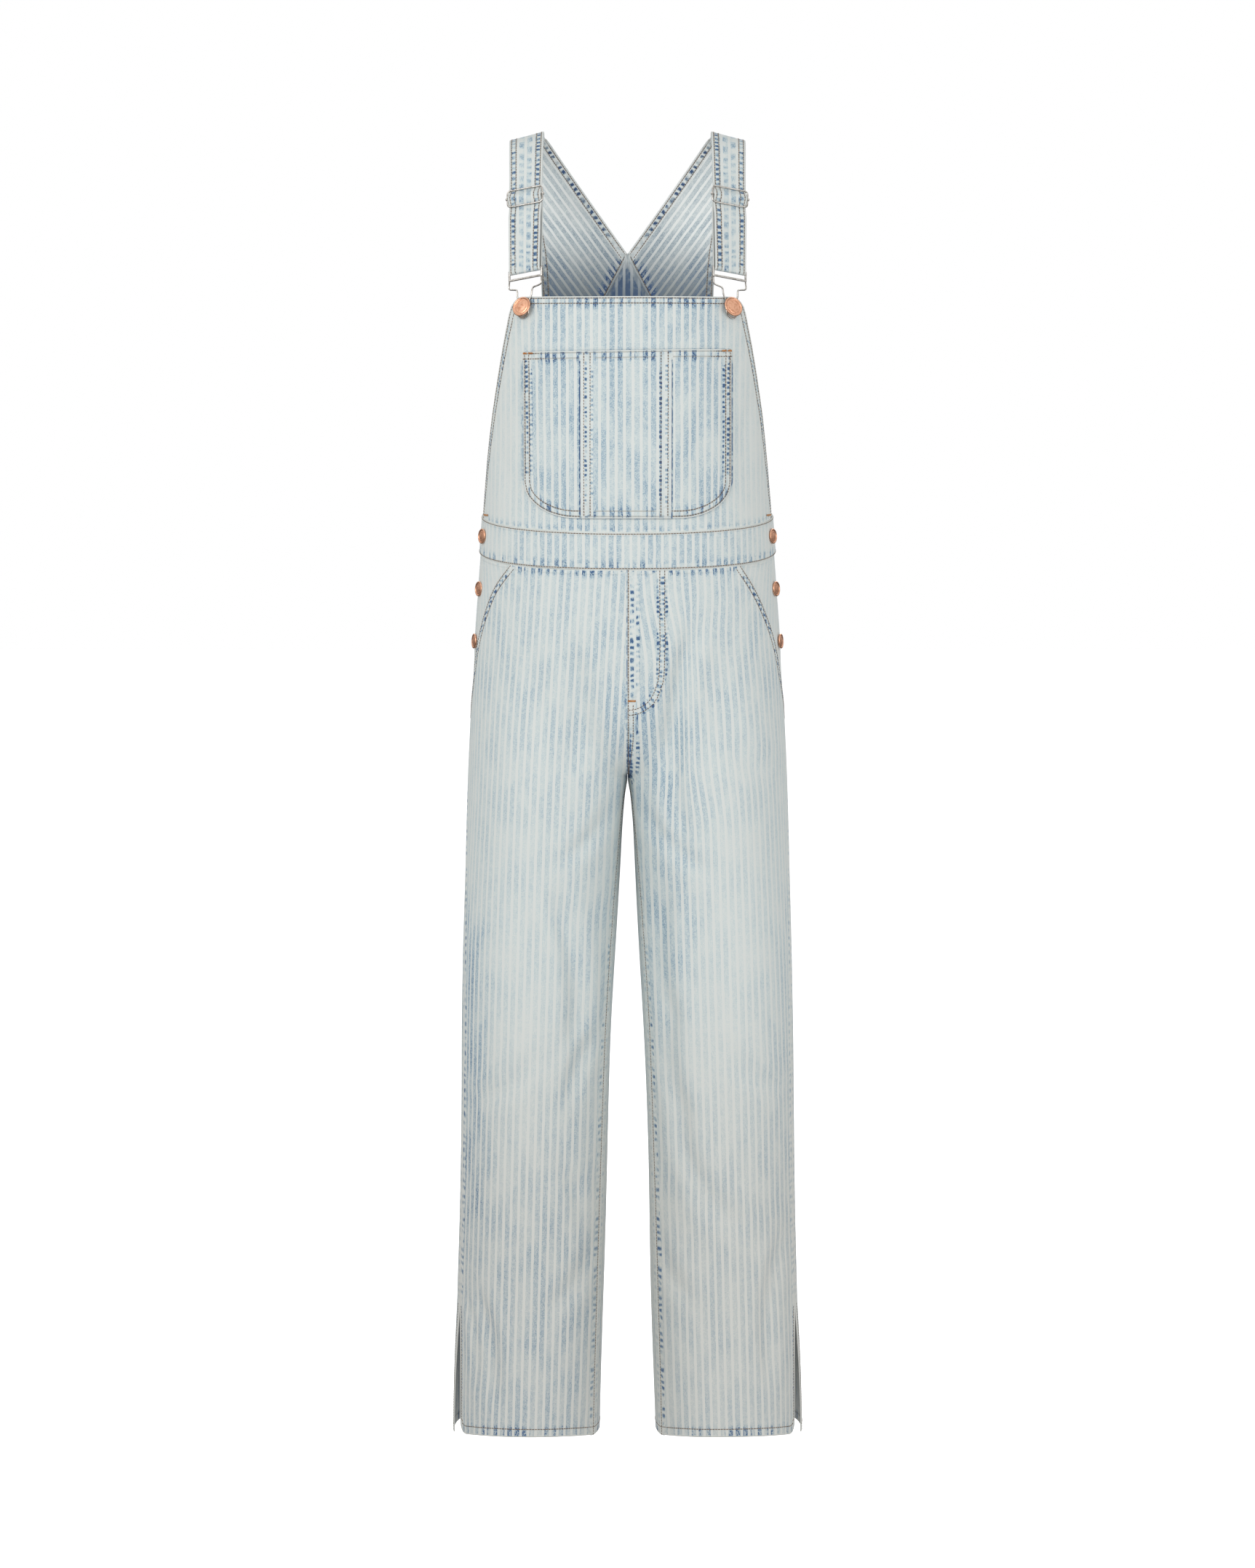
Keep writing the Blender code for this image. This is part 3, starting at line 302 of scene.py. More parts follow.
@dataclass
class Chart:
    """A surface of the garment, read by a place across it and a height."""

    side: float = 1.0
    folds: tuple[Fold, ...] = ()
    sway: float = 0.5
    step: float = 0.4
    outward: float = 1.0

    def bare(self, across: Array, z: Array) -> Array:
        """Points of the surface without its folds, on the right half."""
        raise NotImplementedError

    def near_seam(self, across: Array, z: Array) -> Array:
        """From 0 at the seams, where the folds fade out, to 1 inside."""
        return np.ones_like(across + z)

    def normal(self, across: Array, z: Array) -> Array:
        """Outward unit normals of the surface without its folds.

        Args:
            across: places across the piece.
            z: their heights.

        Returns:
            The normals, on the right half.
        """
        rise = self.bare(across, z + 0.5) - self.bare(across, z - 0.5)
        over = self.bare(across + self.step, z) - self.bare(across - self.step, z)
        normal = np.cross(over, rise)
        normal /= np.maximum(np.linalg.norm(normal, axis=-1, keepdims=True), 1e-9)
        return normal * self.outward

    def at(self, across: Array, z: Array, lift: Array = 0.0) -> Array:
        """Points of the surface with its folds.

        Args:
            across: places across the piece.
            z: their heights.
            lift: how far the points stand off.

        Returns:
            The points in millimetres, on the chart's own side.
        """
        across, z = np.broadcast_arrays(np.asarray(across, float), np.asarray(z, float))
        points = self.bare(across, z)
        x, still = points[..., 0], self.near_seam(across, z)
        deep = sum((fold.press(x, z) for fold in self.folds), np.zeros_like(x))
        deep = deep + self.sway * (np.sin(x / 19.0 + z / 57.0 + self.side) + np.sin(x / 31.0 - z / 83.0))
        points = points + self.normal(across, z) * np.reshape(lift - deep * still, x.shape + (1,))
        return points * np.array([self.side, 1.0, 1.0])


@dataclass
class TrouserChart(Chart):
    """One leg panel: across runs from 0 to 1 over the panel, as a share of its width."""

    part: Part = Part.FRONT
    step: float = 0.0015

    def bare(self, across: Array, z: Array) -> Array:
        """Points of the panel, between the hoops of the body and of the leg.

        Args:
            across: shares of the panel's width.
            z: their heights.

        Returns:
            The points, on the right half.
        """
        inseam = np.radians(LEG_SEAMS.at("inseam", z))
        side = np.radians(LEG_SEAMS.at("side", z))
        if self.part is Part.FRONT:
            round_body, round_leg = across * 0.5 * math.pi, inseam + (side - inseam) * across
            turn, from_inside = FLY_END, across
        else:
            round_body = 0.5 * math.pi * (1.0 + across)
            round_leg = side + (inseam + 2.0 * math.pi - side) * across
            turn, from_inside = SEAT_TURN, 1.0 - across
        under = np.clip((turn - z) / (turn - CROTCH), 0.0, 1.0)
        at_edge = 1.0 - np.sqrt(1.0 - under**2)
        elsewhere = ease((BLEND_TOP - z) / (BLEND_TOP - BLEND_FOOT))
        share = at_edge + (elsewhere - at_edge) * ease(from_inside / CROTCH_REACH)
        share = share[..., None]
        return trunk_point(round_body, z) * (1.0 - share) + leg_point(round_leg, z) * share

    def near_seam(self, across: Array, z: Array) -> Array:
        """From 0 at the panel's two long seams to 1 inside."""
        return ease(np.minimum(across, 1.0 - across) / 0.12)

    def at(self, across: Array, z: Array, lift: Array = 0.0) -> Array:
        """Points of the panel with its folds, drawn sideways at the open slit.

        Args:
            across: shares of the panel's width.
            z: their heights.
            lift: how far the points stand off.

        Returns:
            The points, on the chart's own side.
        """
        points = super().at(across, z, lift)
        points[..., 0] += self.side * self.spread(np.asarray(across, float), np.asarray(z, float))
        return points

    def spread(self, across: Array, z: Array) -> Array:
        """How far the slit's edge stands out from the leg.

        Args:
            across: shares of the panel's width.
            z: their heights.

        Returns:
            The shift in x, away from the middle.
        """
        below = slit_share(z)
        if self.part is Part.FRONT:
            return -SLIT_TUCK_IN * below * np.clip((across - 1.0 + SLIT_SHARE) / SLIT_SHARE, 0.0, 1.0) ** 2
        return SLIT_FLARE * below * np.clip((SLIT_SHARE - across) / SLIT_SHARE, 0.0, 1.0) ** 2

    def across_at(self, x: Array, z: Array) -> Array:
        """Shares of the panel's width at which it reaches x.

        Args:
            x: the places wanted.
            z: their heights.

        Returns:
            The shares.
        """
        share = np.linspace(0.0, 1.0, 81) if self.part is Part.FRONT else np.linspace(1.0, 0.3, 81)
        return np.array([np.interp(one, self.bare(share, np.full(81, height))[:, 0], share)
                         for one, height in zip(x, z)])


@dataclass
class TrunkChart(Chart):
    """The upper body's front or back: across is x."""

    part: Part = Part.FRONT

    def bare(self, across: Array, z: Array) -> Array:
        """Points of the body's hoops."""
        angle = trunk_angle(across, z)
        return trunk_point(angle if self.part is Part.FRONT else math.pi - angle, z)

    def __post_init__(self) -> None:
        """Turn the normals of the back outwards."""
        self.outward = -self.part.value


@dataclass
class Seam:
    """A sewn or folded edge of a piece, from which its wear and its thread rows are measured."""

    points: Array
    rows: tuple[float, ...] = ()
    marks: tuple[float, ...] = ()
    deep: float = 0.8
    along_stripes: bool = True
    band: float = 9.5
    ridge: float = 1.0
    pitch: float = 5.4
    reach: float = 3.4
    towards: tuple[float, ...] = ()

    def measure(self, points: Array) -> tuple[Array, Array]:
        """Distance of points from the seam, and how far along it they lie.

        Args:
            points: points of the cloth.

        Returns:
            Their distances, and their runs along the seam.
        """
        steps = np.diff(self.points, axis=0)
        lengths = np.linalg.norm(steps, axis=1)
        run = np.concatenate([[0.0], np.cumsum(lengths)])
        ways = steps / np.maximum(lengths, 1e-9)[:, None]
        off, along = np.empty(len(points)), np.empty(len(points))
        for first in range(0, len(points), 2000):
            some = points[first:first + 2000]
            gap = np.linalg.norm(some[:, None] - self.points[None], axis=2)
            near = gap.argmin(axis=1)
            best, where = gap.min(axis=1), run[near]
            for segment in (np.minimum(near, len(ways) - 1), np.maximum(near - 1, 0)):
                offset = some - self.points[segment]
                reach = np.clip((offset * ways[segment]).sum(axis=1), 0.0, lengths[segment])
                foot = np.linalg.norm(offset - ways[segment] * reach[:, None], axis=1)
                closer = foot < best
                best, where = np.where(closer, foot, best), np.where(closer, run[segment] + reach, where)
            off[first:first + 2000], along[first:first + 2000] = best, where
        return off, along


class Value:
    """A number inside a material, which Python's own operators combine."""

    def __init__(self, nodes: "Nodes", socket: bpy.types.NodeSocket) -> None:
        """Wrap a socket of a material's nodes."""
        self.nodes, self.socket = nodes, socket

    def maths(self, kind: str, *others: "Value | float") -> "Value":
        """Apply one of Blender's maths operations.

        Args:
            kind: the operation.
            others: its further inputs.

        Returns:
            The result.
        """
        made = self.nodes.add("ShaderNodeMath", operation=kind)
        for slot, value in enumerate((self, *others)):
            self.nodes.feed(made.inputs[slot], value)
        return Value(self.nodes, made.outputs[0])

    def __add__(self, other: "Value | float") -> "Value":
        """Sum."""
        return self.maths("ADD", other)

    def __sub__(self, other: "Value | float") -> "Value":
        """Difference."""
        return self.maths("SUBTRACT", other)

    def __rsub__(self, other: float) -> "Value":
        """Difference from a number."""
        return self.maths("MULTIPLY", -1.0) + other

    def __mul__(self, other: "Value | float") -> "Value":
        """Product."""
        return self.maths("MULTIPLY", other)

    def __truediv__(self, other: "Value | float") -> "Value":
        """Quotient."""
        return self.maths("DIVIDE", other)

    __radd__ = __add__
    __rmul__ = __mul__

    def fract(self) -> "Value":
        """What is left over whole numbers."""
        return self.maths("FRACT")

    def at_least(self, other: "Value | float") -> "Value":
        """The larger of two."""
        return self.maths("MAXIMUM", other)

    def bell(self, middle: "Value | float", width: float) -> "Value":
        """A soft peak of height 1 at a middle value."""
        gap = (self - middle) / width
        return (gap * gap * -1.0).maths("EXPONENT")

    def smooth(self, low: float, high: float) -> "Value":
        """Smooth step from 0 at low to 1 at high; low may be the larger one.

        Args:
            low: where the step is 0.
            high: where it is 1.

        Returns:
            The step.
        """
        made = self.nodes.add("ShaderNodeMapRange", interpolation_type="SMOOTHSTEP")
        self.nodes.feed(made.inputs["Value"], self)
        ends = (low, high, 0.0, 1.0) if low < high else (high, low, 1.0, 0.0)
        for name, value in zip(("From Min", "From Max", "To Min", "To Max"), ends):
            made.inputs[name].default_value = value
        return Value(self.nodes, made.outputs["Result"])


Colour = tuple[float, float, float]


def linear(red: float, green: float, blue: float) -> Colour:
    """Turn a screen colour from 0 to 255 into the shader's linear light."""
    return tuple((c / 255.0 / 12.92) if c <= 10.3 else ((c / 255.0 + 0.055) / 1.055) ** 2.4
                 for c in (red, green, blue))


class Nodes:
    """The nodes of one material."""

    def __init__(self, name: str) -> None:
        """Start a material with an empty surface.

        Args:
            name: the material's name.
        """
        self.material = bpy.data.materials.new(name)
        self.material.use_nodes = True
        self.tree = self.material.node_tree
        self.surface = self.tree.nodes["Principled BSDF"]

    def add(self, kind: str, **settings: object) -> bpy.types.Node:
        """Add a node and set its own options.

        Args:
            kind: the node's type.
            settings: its options.

        Returns:
            The node.
        """
        made = self.tree.nodes.new(kind)
        for name, value in settings.items():
            setattr(made, name, value)
        return made

    def feed(self, socket: bpy.types.NodeSocket, value: object) -> None:
        """Link a value to a socket, or set the socket's own number or colour.

        Args:
            socket: the socket.
            value: a value, a socket, a colour or a number.
        """
        if isinstance(value, Value):
            self.tree.links.new(value.socket, socket)
        elif isinstance(value, bpy.types.NodeSocket):
            self.tree.links.new(value, socket)
        elif isinstance(value, tuple):
            socket.default_value = (*value, 1.0)[:len(socket.default_value)]
        else:
            socket.default_value = value

    def layer(self, name: str) -> Value:
        """A number that the mesh stores at its points."""
        return Value(self, self.add("ShaderNodeAttribute", attribute_name=name).outputs["Fac"])

    def cloth_place(self) -> tuple[Value, Value]:
        """Place in the cloth, across its stripes and along them, counted in stripes.

        Returns:
            The two places.
        """
        split = self.add("ShaderNodeSeparateXYZ")
        self.feed(split.inputs[0], self.add("ShaderNodeUVMap", uv_map="cloth").outputs[0])
        return Value(self, split.outputs[0]), Value(self, split.outputs[1])

    def noise(self, x: "Value | float", y: "Value | float", detail: float = 2.0) -> Value:
        """Soft noise from 0 to 1 over a plane.

        Args:
            x: place across, in noise cells.
            y: place along, in noise cells.
            detail: how many finer layers it has.

        Returns:
            The noise.
        """
        joined = self.add("ShaderNodeCombineXYZ")
        self.feed(joined.inputs[0], x)
        self.feed(joined.inputs[1], y)
        made = self.add("ShaderNodeTexNoise", noise_dimensions="2D")
        self.feed(made.inputs["Vector"], joined.outputs[0])
        self.feed(made.inputs["Scale"], 1.0)
        self.feed(made.inputs["Detail"], detail)
        return Value(self, made.outputs[0])

    def solid_noise(self, scale: float, detail: float = 2.0) -> Value:
        """Soft noise from 0 to 1 through the object's own space.

        Args:
            scale: noise cells to a metre.
            detail: how many finer layers it has.

        Returns:
            The noise.
        """
        made = self.add("ShaderNodeTexNoise")
        self.feed(made.inputs["Vector"], self.add("ShaderNodeTexCoord").outputs["Object"])
        self.feed(made.inputs["Scale"], scale)
        self.feed(made.inputs["Detail"], detail)
        return Value(self, made.outputs[0])

    def mix(self, share: Value, first: object, second: object) -> bpy.types.NodeSocket:
        """Blend two colours.

        Args:
            share: how much of the second.
            first: the first colour.
            second: the second colour.

        Returns:
            The blend.
        """
        made = self.add("ShaderNodeMix", data_type="RGBA")
        for slot, value in zip((0, 6, 7), (share, first, second)):
            self.feed(made.inputs[slot], value)
        return made.outputs[2]

    def relief(self, height: Value, depth_mm: float) -> bpy.types.NodeSocket:
        """Normals of a fine relief whose height is a share of a depth.

        Args:
            height: the relief.
            depth_mm: the depth in millimetres.

        Returns:
            The normals.
        """
        made = self.add("ShaderNodeBump")
        self.feed(made.inputs["Height"], height)
        self.feed(made.inputs["Distance"], depth_mm * MM)
        return made.outputs[0]

    def finish(self, **inputs: object) -> bpy.types.Material:
        """Set the surface's inputs, whose names are spelt with underscores.

        Args:
            inputs: their values or links.

        Returns:
            The material.
        """
        for name, value in inputs.items():
            self.feed(self.surface.inputs[name.replace("_", " ")], value)
        return self.material


@dataclass(frozen=True)
class Denim:
    """Bleached stripe denim: pale ground, speckled blue stripes and blue bars along its seams, darkened by
    painted shade where its mesh asks for it and beside its thread rows.
    """

    name: str
    white: Colour = linear(215, 219, 216)
    pale: Colour = linear(201, 211, 211)
    blue: Colour = linear(155, 177, 191)
    dark: Colour = linear(70, 98, 136)
    share: float = 1.0
    # Ground, pale and blue colours under painted shade, used where the painted shade layer reaches 1
    ecru: Colour = linear(210, 211, 206)
    ecru_pale: Colour = linear(194, 199, 197)
    ecru_blue: Colour = linear(160, 174, 182)
    # Painted shade in the groove beside each thread row
    painted_groove_shade: Colour = linear(132, 122, 104)
    stripe_width: float = 0.66
    grain: float = 7.0
    halo: float = 1.9

    def make(self) -> bpy.types.Material:
        """Build the material.

        Returns:
            A material that reads the cloth's place and the wear layers of its mesh.
        """
        n = Nodes(self.name)
        across, along = n.cloth_place()
        off, run, pitch = n.layer("seam_off"), n.layer("seam_run"), n.layer("seam_pitch")
        turn, band = n.layer("seam_turn"), n.layer("seam_band")
        wander = n.noise(across * 0.9, along * 0.5, 2.0) - 0.5
        place = (across + wander * 0.09).fract()
        stripe = place.smooth(0.0, 0.055) * place.smooth(self.stripe_width + 0.03, self.stripe_width - 0.03)
        speckle = n.noise(across * self.grain, along * self.grain * 0.86, 2.5)
        mottle = n.noise(across * 2.6, along * 1.7, 2.0)
        cloud = n.noise(across * 0.42 + 11.0, along * 0.2, 2.0)
        tone = self.stripes(stripe, speckle, mottle, cloud) * n.layer("fade")
        tone = tone * (1.0 - turn * (band - off).smooth(-1.0, 1.5) * 0.72)
        tone = tone * (1.0 - off.smooth(2.2, 1.4) * n.layer("seam_ridge") * 0.95)
        clear = n.layer("seam_clear")
        reach, second = n.layer("seam_reach"), off - n.layer("seam_mark2")
        bars = self.bars(n, run / pitch + second.smooth(-0.6, 0.4) * 0.45, off)
        marks = self.mark(off - n.layer("seam_mark"), reach).at_least(self.mark(second, reach))
        fringe = (off - band).smooth(6.0, 0.0) * (off - band).smooth(-1.5, 0.5)
        inside = off.smooth(0.7, 1.8) * (band - off).smooth(-0.4, 1.2)
        depth = 0.6 + speckle.smooth(0.3, 0.7) * 0.55
        along_seam = bars * marks * (stripe * 0.6 + 0.4)
        thread = n.noise(across * 1.1 + 5.0, run * 0.012, 1.0).smooth(0.36, 0.62)
        broken = n.noise(across * 4.2, off * 0.3, 1.0).smooth(0.34, 0.56)
        over_seam = stripe * (thread * 1.15 + 0.12) * (broken * 0.6 + 0.4) * (inside + fringe * 0.6)
        edge = (along_seam * turn * 1.25 + over_seam * (1.0 - turn)) * n.layer("seam_deep") * depth * 1.5
        tone = tone * (1.0 - (1.0 - turn) * inside * 0.6) + edge * clear
        halo = n.layer("halo").smooth(2.8, 0.6) * (mottle.smooth(0.36, 0.6) * 0.9 + 0.4)
        tone = tone + halo * (stripe * 0.35 + 0.65) * self.halo
        # Painted shade: darken towards the groove colour beside each thread row
        painted_groove_shade = off.bell(n.layer("seam_row"), 0.62).at_least(off.bell(n.layer("seam_row2"), 0.62)) * clear
        colour = n.mix(painted_groove_shade * 0.45, self.dye(n, tone * self.share), self.painted_groove_shade)
        return n.finish(Base_Color=colour, Roughness=0.9, Normal=self.surface(n, across, along, off, run),
                        Sheen_Weight=0.08, Sheen_Roughness=0.5, Specular_IOR_Level=0.2)

    @staticmethod
    def stripes(stripe: Value, speckle: Value, mottle: Value, cloud: Value) -> Value:
        """How much blue the washed stripes still hold.

        Args:
            stripe: 1 on a stripe.
            speckle: fine noise.
            mottle: coarser noise.
            cloud: broad noise.

        Returns:
            The depth of dye.
        """
        specks = speckle.smooth(0.36, 0.66) * 0.62 + mottle.smooth(0.36, 0.68) * 0.38
        amount = cloud.smooth(0.28, 0.72) * 0.5 + 0.42
        return stripe * (specks * 0.7 + 0.34) * amount + (speckle - 0.5) * 0.12

    @staticmethod
    def mark(past: Value, reach: Value) -> Value:
        """Narrow strip beside a row, in which the wash left its marks."""
        return past.smooth(0.0, 0.6) * (reach - past).smooth(-0.4, 0.6)

    @staticmethod
    def bars(n: Nodes, beat: Value, off: Value) -> Value:
        """Short uneven bars along a puckered seam.

        Args:
            n: the material's nodes.
            beat: run along the seam, counted in bars.
            off: distance from it.

        Returns:
            How strong the bars are.
        """
        drift = n.noise(beat * 0.4, off * 0.04, 1.0)
        place = (beat + drift).fract()
        bar = place.smooth(0.05, 0.38) * place.smooth(0.88, 0.55)
        held = n.noise(beat * 0.62 + 7.3, off * 0.09, 3.0)
        return bar * (held.smooth(0.32, 0.66) * 0.92 + 0.08)

    def dye(self, n: Nodes, tone: Value) -> bpy.types.NodeSocket:
        """Colour of the cloth at a depth of dye, mixed towards darker painted shade colours where the mesh's
        painted shade layer rises.

        Args:
            n: the material's nodes.
            tone: the depth of dye.

        Returns:
            The colour.
        """
        # Painted shade: the colours darken where the mesh's painted shade layer rises
        painted_shade_share = n.layer("ecru")
        ground = n.mix(painted_shade_share, self.white, self.ecru)
        colour = n.mix(tone.smooth(0.0, 0.30), ground, n.mix(painted_shade_share, self.pale, self.ecru_pale))
        colour = n.mix(tone.smooth(0.18, 0.95), colour, n.mix(painted_shade_share, self.blue, self.ecru_blue))
        return n.mix(tone.smooth(0.75, 1.75), colour, self.dark)

    @staticmethod
    def surface(n: Nodes, across: Value, along: Value, off: Value, run: Value) -> bpy.types.NodeSocket:
        """Fine relief: weave, puckers beside the seams and the grooves that the rows pull in.

        Args:
            n: the material's nodes.
            across: place across the stripes.
            along: place along them.
            off: distance from the nearest seam.
            run: run along it.

        Returns:
            The normals.
        """
        weave = n.noise(across * 18.0, along * 18.0, 2.0)
        pucker = n.noise(run / 5.0, off * 0.1, 1.0)
        band = n.layer("seam_band")
        height = (pucker - 0.5) * (off - band).smooth(8.0, -2.0) * 0.9 + (band - off).smooth(-1.2, 0.6) * 0.5
        for row in ("seam_row", "seam_row2"):
            height = height - off.bell(n.layer(row), 0.9) * 0.5
        return n.relief(height * n.layer("seam_clear") + (weave - 0.5) * 0.2, 0.9)


@dataclass(frozen=True)
class Thread:
    """Twisted sewing thread."""

    name: str
    colour: Colour
    shade: Colour

    def make(self) -> bpy.types.Material:
        """Build the material: a thread that varies from stitch to stitch.

        Returns:
            The material.
        """
        n = Nodes(self.name)
        colour = n.mix(n.solid_noise(260.0).smooth(0.35, 0.65), self.colour, self.shade)
        return n.finish(Base_Color=colour, Roughness=0.7, Sheen_Weight=0.2)


@dataclass(frozen=True)
class Metal:
    """Plated metal with fine wear."""

    name: str
    colour: Colour
    worn: Colour
    roughness: float
    grain: float = 420.0

    def make(self) -> bpy.types.Material:
        """Build the material: plating, rubbed spots and a soft orange peel.

        Returns:
            The material.
        """
        n = Nodes(self.name)
        spots = n.solid_noise(self.grain, 3.0)
        colour = n.mix(spots.smooth(0.45, 0.7), self.colour, self.worn)
        rough = n.solid_noise(self.grain * 0.5, 2.0) * 0.16 + self.roughness
        fine = n.solid_noise(self.grain * 3.0, 2.0)
        return n.finish(Base_Color=colour, Metallic=1.0, Roughness=rough, Normal=n.relief(fine, 0.05))


class Wardrobe:
    """The finishes, each made once."""

    def __init__(self) -> None:
        """Make every finish of the garment."""
        self.denim = Denim("striped_denim").make()
        self.reverse = Denim("striped_denim_reverse", white=linear(192, 202, 208), pale=linear(160, 177, 190),
                             blue=linear(122, 146, 170), ecru_blue=linear(140, 160, 178),
                             dark=linear(58, 82, 118), share=1.1, halo=0.0).make()
        # Inside of the back: its white, brighter than the face's own, is painted light, and the darker colours
        # mixed in lower down are painted shade
        inside = {"white": linear(244, 247, 245), "pale": linear(218, 226, 226),
                  "blue": linear(166, 182, 192), "dark": linear(66, 90, 130),
                  "ecru": linear(146, 152, 153), "ecru_pale": linear(114, 123, 128),
                  "ecru_blue": linear(106, 122, 140)}
        self.lining = Denim("striped_denim_inside", **inside).make()
        # The back's middle: bluer and blotchier, with the same painted light at its top and darker painted
        # shade lower down
        inside.update(blue=linear(124, 144, 164), dark=linear(84, 104, 132), ecru=linear(128, 139, 148),
                      ecru_pale=linear(96, 111, 126), ecru_blue=linear(84, 104, 132))
        self.deep = Denim("deep_denim_inside", share=2.3, grain=1.6, **inside).make()
        self.plain = Denim("bleached_side_denim", share=0.4).make()
        self.brown = Thread("brown_thread", linear(88, 68, 50), linear(124, 98, 74)).make()
        self.rust = Thread("rust_thread", linear(156, 98, 46), linear(186, 130, 76)).make()
        self.copper = Metal("copper_plate", linear(240, 186, 154), linear(214, 154, 122), 0.34).make()
        self.nickel = Metal("nickel_plate", linear(204, 200, 194), linear(158, 152, 144), 0.24).make()


def inset(chart: Chart, across: Array, z: Array, distance: float) -> tuple[Array, Array]:
    """Shift a path sideways within its surface.

    Args:
        chart: the surface.
        across: the path's places across.
        z: its heights.
        distance: how far it moves to the left of its way, seen from outside.

    Returns:
        The shifted places and heights.
    """
    over = (chart.bare(across + chart.step, z) - chart.bare(across - chart.step, z)) / (2.0 * chart.step)
    rise = chart.bare(across, z + 0.5) - chart.bare(across, z - 0.5)
    way = np.gradient(chart.bare(across, z), axis=0)
    way /= np.maximum(np.linalg.norm(way, axis=1, keepdims=True), 1e-9)
    aside = np.cross(chart.normal(across, z), way) * distance
    oo, rr, mixed = (over * over).sum(1), (rise * rise).sum(1), (over * rise).sum(1)
    oa, ra = (over * aside).sum(1), (rise * aside).sum(1)
    scale = np.maximum(oo * rr - mixed * mixed, 1e-9)
    return across + (oa * rr - ra * mixed) / scale, z + (ra * oo - oa * mixed) / scale


def stations(length: float, pitch: float, marks: Iterable[float] = ()) -> Array:
    """Shares of a length at an even pitch, closer together at both ends.

    Args:
        length: the length in millimetres.
        pitch: the pitch in millimetres.
        marks: further places, in millimetres.

    Returns:
        The shares from 0 to 1.
    """
    ends = [0.0, 1.3, 2.6, 5.0, 8.0, 11.0]
    inner = np.linspace(14.0, length - 14.0, max(2, round((length - 28.0) / pitch)))
    places = sorted([*ends, *(length - e for e in ends), *inner, *marks])
    kept = [places[0]]
    for place in places[1:]:
        if place - kept[-1] > 0.35:
            kept.append(place)
    kept[-1] = length
    return np.array(kept) / length


class ThreadKind(Enum):
    """Which thread a row is sewn with."""

    TOPSTITCH = "topstitch"
    BARTACK = "bartack"


@dataclass
class Row:
    """One row of stitches along a line on the cloth."""

    points: Array
    normals: Array
    pitch: float = 3.1
    length: float = 2.7
    width: float = 0.95
    height: float = 0.55
    kind: ThreadKind = ThreadKind.TOPSTITCH


